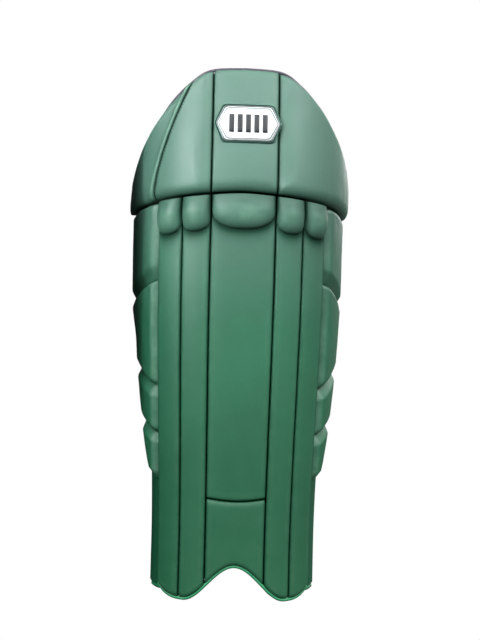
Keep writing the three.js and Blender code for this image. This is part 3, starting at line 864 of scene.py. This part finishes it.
def quilting(arc, z, edge):
    """Vertical sewn channels in the lining, flat at its rim, with painted shade along the sewn lines and the
    rim.
    """
    phase = arc / CHANNEL_WIDTH
    bulge = np.abs(np.sin(np.pi * phase)) ** 0.6
    line = np.exp(-((np.abs(phase - np.round(phase)) * CHANNEL_WIDTH) ** 2) / 2.0)
    wrinkle = 0.3 * noise(arc / 9, z / 7, 4) * (1 - bulge)
    rim = np.clip(edge / 8, 0, 1)
    return (2.6 * (1 - bulge) + wrinkle) * rim + 1.8 * (1 - rim), np.maximum(0.8 * line, np.exp(-edge / 2))


sheet_like(
    "shin_board", "shin", both(-EDGE_ROLL_ARC, EDGE_ROLL_ARC), shin_heights, board_back,
    lambda arc: -board_depth(arc), BOARD, "board", 9,
)
sheet_like(
    "shin_lining", "shin", lambda v: (1 - rear_end(v, 460), rear_end(v, 460) - 1), shin_heights,
    lining_back, lining_front, LINING_KNIT, "lining_cloth", 3.6, quilting, 0.35,
)
for side, sign in SIDES:
    sheet_like(
        f"{side}_wing_board", "shin",
        lambda v, sign=sign: mirrored(sign, WING_START + 0 * v, rear_end(v, 457)), shin_heights,
        board_back, lambda arc: -board_depth(arc), BACKING, "dark_leather", 4,
    )

# --- Top section ---


def top_seam(v):
    return TOP_SEAM_LOW + (TOP_SEAM_HIGH - TOP_SEAM_LOW) * v**1.9


def top_heights(arc):
    return fold_height(arc) + 1.5, top_edge(arc) - 1.8


def lip_fall(z, arc):
    """The padded face curls under at its lower lip."""
    t = np.clip(1 - (z - fold_height(arc) - 1.5) / 15, 0, 1)
    return 8.5 * (1 - np.sqrt(1 - t**2 * 0.99))


def under_lip(arc, z):
    """Painted shade where the lip curls under."""
    return 0.42 * np.exp(-(np.maximum(0, z - fold_height(arc) - 1.5) / 6.5) ** 1.4)


def ridge_highlight(arc, z):
    """A painted highlight along the stitched ridge beside the inside wing's seam."""
    low, high = top_heights(arc)
    beside = -top_seam(np.clip((z - low) / (high - low), 0, 1)) - HALF_SEAM - arc
    return 1.8 * np.exp(-(((beside - 4.5) / 3) ** 2))


def top_centre(arc, z, u, v):
    return TOP_PROUD + 0.4 - 1.0 * np.abs(2 * u - 1) ** 4 - lip_fall(z, arc)


def bevel(distance, width, depth, sharpness=11):
    """A slope down to a seam, with a clear crest."""
    share = np.clip(1 - distance / width, -3, 1)
    return -depth * np.log1p(np.exp(sharpness * share)) / sharpness


def outside_flank(arc, z, u, v):
    above = z - fold_height(arc)
    width = 19 * np.clip((above - 6) / 26, 0.12, 1) ** 0.6
    d = arc - CENTRE_ARC
    ripple = 0.9 * np.exp(-((arc - 150) / 5) ** 2) + 0.7 * np.exp(-((arc - 166) / 5) ** 2)
    ripple = ripple * np.exp(-((above - 30) / 34) ** 2)
    return TOP_PROUD + 0.6 + bevel(d, width, 5.5) + ripple - lip_fall(z, arc)


def inside_flank(arc, z, u, v):
    above = z - fold_height(arc)
    width = 11 + 7 * np.exp(-((above - 40) / 30) ** 2)
    return TOP_PROUD + 0.4 + bevel(-CENTRE_ARC - arc, width, 3.6) - lip_fall(z, arc)


def inside_wing(arc, z, u, v):
    d = (1 - u) * (WING_ARC_FULL - top_seam(v))
    welt = 1.6 * np.sin(np.pi * np.clip(d / 10, 0, 1)) - 3.6 * smooth((d - 6) / 7) * (1 - smooth((d - 13) / 45))
    fuller = 3.0 * smooth((d - 14) / 40) * (1 - v)
    return TOP_PROUD + 0.4 + welt + fuller - lip_fall(z, arc) * np.interp(d, [0, 55], [1, 0.25])


def top_back(arc):
    return -board_depth(arc) + GAP


TOP_LOOK = {"pucker": 0.3, "pitch": (3, 2.6), "shade": under_lip}
cover(
    "top_centre_panel", "top", both(-CENTRE_ARC + HALF_SEAM, CENTRE_ARC - HALF_SEAM), top_heights, top_back,
    top_centre, (2.6, 2.6, 2, 8), (3, 3, 0.4, 3.5), seed=71, dark=(1, 1, 0, 0.3), **TOP_LOOK,
)
cover(
    "top_inside_flank", "top", lambda v: (-top_seam(v) + HALF_SEAM, -CENTRE_ARC - HALF_SEAM + 0 * v),
    top_heights, top_back, inside_flank, (1.8, 2.2, 2, 8), (1.2, 2, 0.4, 3.5), seed=73, dark=(1, 1, 0, 0.5),
    **TOP_LOOK,
)
cover(
    "top_inside_wing", "top", lambda v: (-WING_ARC_FULL + 0 * v, -top_seam(v) - HALF_SEAM), top_heights,
    top_back, inside_wing, (7, 1.8, 2, 8), (3, 1.2, 0.4, 3.5), seed=79, dark=(0.5, 1, 0, 0.5), highlight=ridge_highlight,
    **TOP_LOOK,
)
cover(
    "top_outside_flank", "top", both(CENTRE_ARC + HALF_SEAM, WING_ARC_FULL), top_heights, top_back,
    outside_flank, (2.2, 7, 2, 8), (1.6, 3, 0.4, 3.5), seed=83, dark=(1, 0.5, 0, 0.5), **TOP_LOOK,
)
sheet_like(
    "top_board", "top", both(-WING_ARC_FULL, WING_ARC_FULL), top_heights, board_back,
    lambda arc: -board_depth(arc), BACKING, "dark_leather", 6,
)
sheet_like(
    "top_lining", "top", both(-WING_ARC_FULL + 1, WING_ARC_FULL - 1),
    lambda arc: (fold_height(arc) + 1.5, top_edge(arc) - 1), lining_back, lining_front, LINING_KNIT,
    "lining_cloth", 3.6, quilting, 0.35,
)

# --- Cushions on the leg side ---


def bolster(name, body, near, far, low, high, base, depth):
    """A domed cushion standing on the lining."""

    def place(u, v, w):
        arc = near + (far - near) * u
        z = low + (high - low) * v
        across, along = np.abs(2 * u - 1), np.abs(2 * v - 1)
        dome = np.sqrt(np.clip(1 - across**2.2, 0, 1)) * np.sqrt(np.clip(1 - along**7, 0, 1))
        crease = 0.5 * np.maximum(0, noise(z / 6, across, 9)) * (1 - dome)
        inner = lining_back(arc) - GAP
        outer = inner - base - depth * dome + crease
        # Painted shade round the rim, where the cushion meets the lining.
        seam = np.exp(-(1 - np.maximum(across, along)) * 14)
        return on_leg(arc, z, inner + (outer - inner) * (1 - w)), np.where(w > 0, 1, seam), 0 * arc

    obj = shell(name, place, steps(far - near, 2.6), steps(high - low, 3), CUSHION_KNIT, 3)
    settle(name, obj, body, "cushion_cloth", 0.7)


for side, sign in SIDES:
    near, far = mirrored(sign, 58, 92)
    bolster(f"{side}_knee_bolster", "shin", near, far, 372, 470, 3, 11)
    near, far = mirrored(sign, 20, 62)
    bolster(f"top_{side}_bolster", "top", near, far, 538, 630, 3, 10)


CUSHION_WIDTH, CUSHION_TALL, CUSHION_CHANNELS = 72, 250, 5


def cushion_place(u, v, w):
    """The flat shin cushion, sewn across in channels; its rear face lies at the frame's y of 0."""
    arc = CUSHION_WIDTH * (u - 0.5)
    z = SEAT_HEIGHT + CUSHION_TALL * (v - 0.5)
    rim = np.minimum((0.5 - np.abs(u - 0.5)) * CUSHION_WIDTH, (0.5 - np.abs(v - 0.5)) * CUSHION_TALL)
    round_off = 4.5 * (1 - np.sqrt(1 - np.clip(1 - rim / 6, 0, 1) ** 2))
    front = on_leg(arc, z, lining_back(arc) - GAP)
    rear = front.copy()
    phase = (v * CUSHION_CHANNELS) % 1
    line = sum(np.exp(-((d * CUSHION_TALL / CUSHION_CHANNELS) ** 2) / 3) for d in (phase, 1 - phase))
    sunk = np.where((v > 0.05) & (v < 0.95), 1.6 * line, 0)
    rear[..., 1] = -(round_off + sunk) / 1000
    share = np.asarray(w)[..., None]
    # Painted shade at the rim and along the sewn channels.
    seam = np.clip(np.exp(-rim / 2) + 0.7 * line * (rim > 0), 0, 1)
    return rear + (front - rear) * share, np.where(w > 0, 1, seam), 0 * arc


cushion = shell(
    "shin_cushion", cushion_place, steps(CUSHION_WIDTH, 3), steps(CUSHION_TALL, 2.5), CUSHION_KNIT, 3
)
settle("shin_cushion", cushion, "shin", "cushion_cloth", 0.7)

# --- Knee gusset: cloth across the fold, in soft accordion pleats ---


def gusset_place(u, v, w):
    arc = -98 + 196 * u
    z = fold_height(arc) - 20 + 30 * v
    pleat = 0.5 * np.sin(v * math.pi * 5) * np.clip(np.minimum(v, 1 - v) * 8, 0, 1)
    offset = lining_back(arc) - GAP - 1.6 + 1.6 * w + pleat
    # Painted shade along both long edges.
    return on_leg(arc, z, offset), np.exp(-np.minimum(v, 1 - v) * 12), 0 * arc


gusset = shell("knee_fold_gusset", gusset_place, np.linspace(0, 1, 60), np.linspace(0, 1, 21), GUSSET_KNIT, 2)
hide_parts("knee_fold_gusset")

# --- Badge ---

BADGE_ARC, BADGE_Z, BADGE_WIDTH, BADGE_FLAT, BADGE_TALL = 2.5, 608.0, 77.0, 57.0, 46.0


def badge_layer(name, inset, low, high, material, slot, hole=None, edge=1.0):
    """A six-sided layer, or a frame with a six-sided hole, with a bevelled rim."""

    def outline(gap, n=12):
        flat, tip, tall = BADGE_FLAT / 2 - gap, BADGE_WIDTH / 2 - gap, BADGE_TALL / 2 - gap
        corners = np.array([[flat, tall], [tip, 0], [flat, -tall], [-flat, -tall], [-tip, 0], [-flat, tall]])
        t = (np.arange(n) + 0.5) / n
        ends = np.concatenate([c + (d - c) * t[:, None] for c, d in zip(corners, np.roll(corners, -1, axis=0))])
        return (np.roll(ends, 1, axis=0) + 2 * ends + np.roll(ends, -1, axis=0)) / 4

    def at(points, offset):
        return on_leg(BADGE_ARC + points[:, 0], BADGE_Z + points[:, 1], TOP_PROUD + offset)

    rings = [at(outline(inset), low), at(outline(inset), high - edge), at(outline(inset + edge), high)]
    if hole is None:
        for share in (0.75, 0.5, 0.25):
            rings.append(at(outline(inset + edge) * share, high))
    else:
        rings += [at(outline(hole - edge), high), at(outline(hole), high - edge), at(outline(hole), low)]
    count, last = len(rings[0]), len(rings) - 1
    points = np.concatenate(rings)
    joins = [(k, k + 1) for k in range(last)] + ([] if hole is None else [(last, 0)])
    faces = []
    for lower, upper in joins:
        for i in range(count):
            n = (i + 1) % count
            faces.append((upper * count + i, upper * count + n, lower * count + n, lower * count + i))
    if hole is None:
        faces += [tuple(last * count + i for i in range(count))[::-1], tuple(range(count))]
    settle(name, new_object(name, points, faces, material), "top", slot)


badge_layer("badge_surround", -1.9, 0.0, 2.2, BADGE_SURROUND, "green_leather", -0.2, 0.9)
badge_layer("badge_plate", 0.0, 0.6, 2.8, RIM, "badge_rim", 1.7, 0.5)
badge_layer("badge_inner_rim", 2.9, 1.2, 2.9, RIM, "badge_rim", 3.9, 0.4)
badge_layer("badge_face", 1.9, 0.8, 2.3, BADGE_WHITE, "badge_face", None, 0.3)
BAR_WIDTH, BAR_TALL, BAR_PITCH = 5.8, 23, 9.8
BAR_RIM = (0, 0.3, 0.6)


def badge_bar(index):
    """One upright bar of the badge's plain pattern."""

    def place(u, v, w):
        arc = BADGE_ARC + (index - 2) * BAR_PITCH + BAR_WIDTH * (u - 0.5)
        z = BADGE_Z + BAR_TALL * (v - 0.5)
        rim = np.minimum((0.5 - np.abs(u - 0.5)) * BAR_WIDTH, (0.5 - np.abs(v - 0.5)) * BAR_TALL)
        offset = TOP_PROUD + 2.2 + (1.3 - 0.5 * np.clip(1 - rim / 0.6, 0, 1)) * w
        return on_leg(arc, z, offset), 0 * arc, 0 * arc

    name = f"badge_bar_{index + 1}"
    obj = shell(name, place, steps(5.0, 1.2, BAR_RIM), steps(BAR_TALL, 3, BAR_RIM), BADGE_DARK, 2)
    settle(name, obj, "top", "badge_face")


for index in range(5):
    badge_bar(index)

# --- Straps ---

# The height, width and bulge of each strap.
STRAPS = {"knee_strap": (398, 50, 52), "calf_strap": (292, 50, 46), "ankle_strap": (192, 38, 44)}
STRAP_THICKNESS, HOOK_THICKNESS, ANCHOR_THICKNESS = 2.4, 1.2, 2.2
TONGUE_DEPTH = -2 * (GAP + HOOK_THICKNESS) - GAP
MM_PER_DEGREE = 1.75
BAND_EDGE = (0, 0.5, 1.1, 2, 3.2, 4, 4.8, 6.5)
STITCH_INSET = 4.0


def on_strap(strap, degrees, z, offset):
    """A point of a strap's line: along the wings below 0 and above 180 degrees, on half an ellipse between."""
    height, width, bulge = STRAPS[strap]
    degrees, z, offset = np.broadcast_arrays(*(np.asarray(a, float) for a in (degrees, z, offset)))
    past = np.maximum(np.maximum(-degrees, degrees - 180), 0)
    arc = back_end(height + width / 2) + 3 - past
    depth = lining_back(arc) - GAP - ANCHOR_THICKNESS
    sewn = on_leg(np.where(degrees < 90, arc, -arc), z, depth + offset)
    start = on_leg(arc, z, depth)
    angle = np.radians(degrees)
    loop = np.stack(
        [
            (start[..., 0] + offset / 1000) * np.cos(angle),
            start[..., 1] + (bulge + offset) / 1000 * np.sin(angle),
            start[..., 2],
        ],
        -1,
    )
    return np.where((past > 0)[..., None], sewn, loop)


def strap_band(name, strap, body, span, outer, thickness, material, round_start=0, round_end=0, margin=0.0):
    """A leather band over a span of degrees, with a soft grooved edge, two stitch rows and a round free end."""
    height, width, _ = STRAPS[strap]
    length = abs(span[1] - span[0])
    reach = width / 2 - margin

    def place(u, v, w):
        degrees = span[0] + (span[1] - span[0]) * u
        across = 2 * v - 1
        ends = np.ones_like(u)
        for share, radius in ((u, round_start), (1 - u, round_end)):
            if radius:
                near = np.clip(1 - share * (length * MM_PER_DEGREE) / radius, 0, 1)
                ends = ends * (0.45 + 0.55 * np.sqrt(1 - near**2.4 * 0.999))
        z = height + reach * across * ends
        edge = (1 - np.abs(across)) * reach
        soft = 0.7 * np.clip(1 - edge / 1.6, 0, 1) ** 2
        groove = 0.28 * np.exp(-(((edge - STITCH_INSET) / 0.9) ** 2))
        wave = 0.25 * noise(degrees / 14, across * 1.5, 3)
        top = outer(degrees) - soft - groove + wave
        bottom = outer(degrees) - thickness + soft + wave
        points = on_strap(strap, degrees, z, bottom + (top - bottom) * w)
        # Painted shade and pale wear along the band's edges.
        return points, np.exp(-edge / 1.2) * 0.8, np.exp(-edge / 2.5) * 0.6

    along = np.linspace(0, 1, 3 + int(length * 0.9))
    obj = shell(name, place, along, steps(2 * reach, 3.2, BAND_EDGE), material, 3)
    settle(name, obj, body, "green_leather")
    way = np.sign(span[1] - span[0])
    degrees = np.linspace(span[0] + way * 5, span[1] - way * 9, 90)
    for end, row in ((-1, "lower"), (1, "upper")):
        z = height + end * (reach - STITCH_INSET)
        here = on_strap(strap, degrees, z, outer(degrees) - 0.12)
        up = on_strap(strap, degrees, z, outer(degrees) + 1.0) - here
        stitches(f"{name}_{row}_stitches", body, here, up)


def tongue_layer(degrees):
    """The tongue's outer face: level with the anchor where it is sewn, and then under the strap."""
    return ANCHOR_THICKNESS + (TONGUE_DEPTH - ANCHOR_THICKNESS) * np.clip(np.asarray(degrees, float) / 24, 0, 1)


def flat_layer(value):
    return lambda degrees: value + 0 * np.asarray(degrees, float)


for strap in STRAPS:
    leather_band = (STRAP_THICKNESS, STRAP_LEATHER)
    strap_band(strap, strap, strap, (180, 30), flat_layer(STRAP_THICKNESS), *leather_band, 0, 24)
    strap_band(f"{strap}_tongue", strap, "shin", (66, -24), tongue_layer, *leather_band, 16, 0)
    strap_band(
        f"{strap}_anchor", strap, "shin", (218, 182), flat_layer(ANCHOR_THICKNESS), ANCHOR_THICKNESS, COVER,
        margin=-2.0,
    )
    for tape, material in (("hooks", HOOKS), ("loops", LOOPS)):
        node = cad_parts[f"{strap}_{tape}"]
        node.data.materials.clear()
        node.data.materials.append(material)

# --- Bindings and stitch rows ---

top_arcs = np.linspace(-WING_ARC_FULL + 1, WING_ARC_FULL - 1, 180)
tube(
    "top_binding", "top", on_leg(top_arcs, top_edge(top_arcs) - 0.9, 0.8), 0.0021, BINDING, "dark_leather", 3
)

# The wing's binding runs down its rear edge, round the flap's corner and forward along the lower edge.
BINDING_CORNER = FLAP_BOTTOM + 8
REAR_POINTS, CORNER_POINTS, FORWARD_POINTS = 110, 8, 12
down = np.linspace(460, BINDING_CORNER, REAR_POINTS)
corner = np.radians(np.linspace(0, 90, CORNER_POINTS))
forward = np.linspace(150, 116, FORWARD_POINTS)
binding_z = np.concatenate([down, BINDING_CORNER - 11 * np.sin(corner), lower_edge(forward) - 3])
binding_arc = np.concatenate(
    [back_end(down) - 0.3, ANKLE_FLAP_ARC + 1.7 - 8 * (1 - np.cos(corner)), forward]
)
on_wing = np.arange(len(binding_z)) < REAR_POINTS + CORNER_POINTS
binding_offset = np.where(on_wing, -WING_DEPTH - 3.4, -board_depth(binding_arc) - 1.5)
for side, sign in SIDES:
    route = on_leg(sign * binding_arc, binding_z, binding_offset)
    tube(f"{side}_wing_binding", "shin", route, 0.0024, PIPING_DARK, "piping")

stitch_z = np.linspace(0.02, 0.96, 200)
seam_arcs = -top_seam(stitch_z) + 3.2
low, high = top_heights(seam_arcs)
stitch_heights = low + (high - low) * stitch_z
stitch_offset = inside_flank(seam_arcs, stitch_heights, 0.0, stitch_z) - 0.1
stitches("top_inside_seam_stitches", "top", *leg_line(seam_arcs, stitch_heights, stitch_offset), DARK_THREAD)

# --- Air in the padding: each cover is blown up a little as cloth, held at its seams ---


CLOTH = {
    "quality": 4, "mass": 0.25, "tension_stiffness": 12, "compression_stiffness": 12, "shear_stiffness": 6,
    "bending_stiffness": 0.6, "vertex_group_mass": "held", "pin_stiffness": 2, "use_pressure": True,
}


def puff(objects, pressure, cap, last_frame=12):
    """Blow the objects up, and keep each point within cap metres of where it was."""
    for obj in objects:
        mesh = obj.data
        count = len(mesh.vertices)
        seam = np.zeros(count, np.float32)
        mesh.attributes["seam"].data.foreach_get("value", seam)
        group = obj.vertex_groups.new(name="held")
        for index, share in enumerate(np.clip(seam * 3, 0, 1)):
            if share > 0.02:
                group.add([index], float(share), "REPLACE")
        cloth = obj.modifiers.new("cloth", "CLOTH")
        for key, value in CLOTH.items():
            setattr(cloth.settings, key, value)
        cloth.settings.uniform_pressure_force = pressure
        cloth.settings.effector_weights.gravity = 0
        cloth.collision_settings.use_collision = False
        cloth.point_cache.frame_start = 1
        cloth.point_cache.frame_end = last_frame
    scene = bpy.context.scene
    for number in range(1, last_frame + 1):
        scene.frame_set(number)
    graph = bpy.context.evaluated_depsgraph_get()
    for obj in objects:
        before = np.zeros(len(obj.data.vertices) * 3)
        after = before.copy()
        obj.data.vertices.foreach_get("co", before)
        obj.evaluated_get(graph).data.vertices.foreach_get("co", after)
        move = (after - before).reshape(-1, 3)
        far = np.linalg.norm(move, axis=1)
        kept = cap * np.tanh(far / cap)
        move *= (kept / np.maximum(far, 1e-9))[:, None]
        obj.data.vertices.foreach_set("co", (before.reshape(-1, 3) + move).ravel())
        obj.modifiers.remove(obj.modifiers["cloth"])
        obj.vertex_groups.clear()
        obj.data.update()
    scene.frame_set(1)


PUFF_PRESSURE, PUFF_CAP = 3.0, 0.0014
padded = [
    "top_centre_panel", "top_inside_flank", "top_inside_wing", "top_outside_flank", "knee_cup",
    "instep_panel", "top_inside_bolster", "top_outside_bolster",
]
for side, _ in SIDES:
    padded += [f"{side}_{piece}" for piece in (
        "shin_roll_knee_roll", "edge_roll_knee_roll", "wing_pad_1", "wing_pad_2", "wing_pad_3",
        "wing_pad_4", "knee_bolster", "shin_roll", "edge_roll",
    )]
puff([PIECES[name] for name in padded], PUFF_PRESSURE, PUFF_CAP)

# --- Everything rides on its body ---

for obj, body in JOBS:
    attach(obj, body)
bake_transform(gusset)
for side, _ in SIDES:
    piece = PIECES[f"{side}_wing_pad_1"]
    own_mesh(piece)

# --- Stage, light and camera ---

floor_z = CAD_BOX[0].z - 0.001
corners = [(-9, -9, floor_z), (9, -9, floor_z), (9, 9, floor_z), (-9, 9, floor_z)]
pale = Nodes("floor_paper", 0.9)
floor = new_object("floor", corners, [(0, 1, 2, 3)], pale.material)


def camera_only(tree, seen, lit):
    """A shader that shows seen to the camera, and lights the object as lit does."""
    rays = tree.nodes.new("ShaderNodeLightPath")
    choose = tree.nodes.new("ShaderNodeMixShader")
    tree.links.new(rays.outputs["Is Camera Ray"], choose.inputs[0])
    tree.links.new(lit, choose.inputs[1])
    tree.links.new(seen, choose.inputs[2])
    return choose.outputs[0]


# The floor's paper runs out into the white background away from the pad.
paper = pale.mix(pale.range(pale.noise(0.6, 2), 0.3, 0.7), linear(232, 233, 233), linear(240, 240, 240))
pale.finish(paper)
glow = pale.add("ShaderNodeEmission", Color=(1, 1, 1, 1), Strength=1.0)
distance = pale.add("ShaderNodeVectorMath", {"Vector": pale.place}, operation="LENGTH").outputs["Value"]
blend = pale.add("ShaderNodeMixShader")
pale.tree.links.new(pale.range(distance, 0.12, 0.25), blend.inputs[0])
pale.tree.links.new(pale.shader.outputs[0], blend.inputs[1])
pale.tree.links.new(glow.outputs[0], blend.inputs[2])
dull = pale.add("ShaderNodeBsdfDiffuse", Color=(0.1, 0.1, 0.1, 1))
surface = pale.tree.nodes["Material Output"].inputs["Surface"]
pale.tree.links.new(camera_only(pale.tree, blend.outputs[0], dull.outputs[0]), surface)


def area_light(name, place, aim, size, power, color=(1.0, 1.0, 1.0), spread=180):
    light = bpy.data.lights.new(name, "AREA")
    light.shape = "RECTANGLE"
    light.size, light.size_y = size
    light.energy = power
    light.color = color
    light.spread = math.radians(spread)
    obj = bpy.data.objects.new(name, light)
    obj.location = place
    obj.rotation_mode = "QUATERNION"
    obj.rotation_quaternion = (Vector(aim) - Vector(place)).to_track_quat("-Z", "Y")
    bpy.context.scene.collection.objects.link(obj)


COOL = (0.92, 0.98, 1.0)
area_light("left_box", (-1.35, -1.35, 1.5), (0, 0, 0.2), (1.5, 1.2), 45, COOL)
area_light("right_box", (1.25, -1.4, 1.75), (0, 0, 0.2), (1.5, 1.2), 37, COOL)
area_light("front_top", (-0.05, -1.0, 1.55), (0, 0, 0.25), (1.6, 0.6), 9, COOL)
area_light("overhead", (0.1, -0.1, 1.5), (0, 0, 0), (1.4, 0.8), 2)
area_light("knee_light", (-1.0, -0.95, 0.55), (-0.05, 0, 0.21), (0.3, 0.3), 0.36, COOL, 24)
area_light("rear_fill", (0.9, 2.1, 1.0), (0, 0, 0), (1.8, 1.4), 30)

# A dark flag stands just left of the wing, out of the camera's sight.
FLAG_X, FLAG_FRONT, FLAG_REAR, FLAG_LOW, FLAG_HIGH = -0.158, -0.006, 0.3, -0.3, 0.3
flag_sides = ((FLAG_FRONT, FLAG_LOW), (FLAG_REAR, FLAG_LOW), (FLAG_REAR, FLAG_HIGH), (FLAG_FRONT, FLAG_HIGH))
flag_cloth = Nodes("flag_cloth", 0.9)
flag_cloth.shader.inputs["Base Color"].default_value = linear(12, 40, 30)
flag = new_object("flag", [(FLAG_X, y, z) for y, z in flag_sides], [(0, 1, 2, 3)], flag_cloth.material)
flag.visible_camera = False

# The room is bright overhead, and dark below and to the left.
world = bpy.data.worlds.new("studio")
world.use_nodes = True
tree = world.node_tree
way = tree.nodes.new("ShaderNodeSeparateXYZ")
tree.links.new(tree.nodes.new("ShaderNodeTexCoord").outputs["Generated"], way.inputs[0])


def ramp(socket, stops):
    span = tree.nodes.new("ShaderNodeMapRange")
    span.inputs["From Min"].default_value = -1
    tree.links.new(socket, span.inputs["Value"])
    node = tree.nodes.new("ShaderNodeValToRGB")
    node.color_ramp.interpolation = "EASE"
    elements = node.color_ramp.elements
    while len(elements) < len(stops):
        elements.new(0.5)
    for element, (at, value) in zip(elements, stops):
        element.position = (at + 1) / 2
        element.color = (value, value, value, 1)
    tree.links.new(span.outputs[0], node.inputs[0])
    return node.outputs["Color"]


height_share = ramp(way.outputs["Z"], ((-1, 0.0), (-0.2, 0.01), (0.0, 0.04), (0.3, 0.75), (0.6, 1.0), (1, 0.7)))
side_share = ramp(way.outputs["X"], ((-1, 0.02), (-0.8, 0.05), (-0.4, 0.85), (1, 1.0)))
both_shares = tree.nodes.new("ShaderNodeMix")
both_shares.data_type = "RGBA"
both_shares.blend_type = "MULTIPLY"
both_shares.inputs[0].default_value = 1
tree.links.new(height_share, both_shares.inputs[6])
tree.links.new(side_share, both_shares.inputs[7])
room = tree.nodes["Background"]
room.inputs["Strength"].default_value = 1.5
tree.links.new(both_shares.outputs[2], room.inputs["Color"])
white = tree.nodes.new("ShaderNodeBackground")
white.inputs["Color"].default_value = (1, 1, 1, 1)
white.inputs["Strength"].default_value = 1.0
tree.links.new(
    camera_only(tree, white.outputs[0], room.outputs[0]), tree.nodes["World Output"].inputs["Surface"]
)
bpy.context.scene.world = world
bpy.context.scene.view_settings.view_transform = "Standard"

AZIMUTH, ELEVATION, ROLL = math.radians(-2.4), math.radians(2.5), math.radians(1.6)
DISTANCE, LENS = 1.57, 68.6
aim = Vector((0.0, -0.01, 0.059))
back = Vector(
    (math.sin(AZIMUTH) * math.cos(ELEVATION), -math.cos(AZIMUTH) * math.cos(ELEVATION), math.sin(ELEVATION))
)
camera_data = bpy.data.cameras.new("camera")
camera_data.lens = LENS
camera_data.sensor_width = 36
camera = bpy.data.objects.new("camera", camera_data)
camera.location = aim + DISTANCE * back
camera.rotation_mode = "QUATERNION"
camera.rotation_quaternion = (-back).to_track_quat("-Z", "Y") @ Quaternion((0, 0, 1), ROLL)
bpy.context.scene.collection.objects.link(camera)
bpy.context.scene.camera = camera
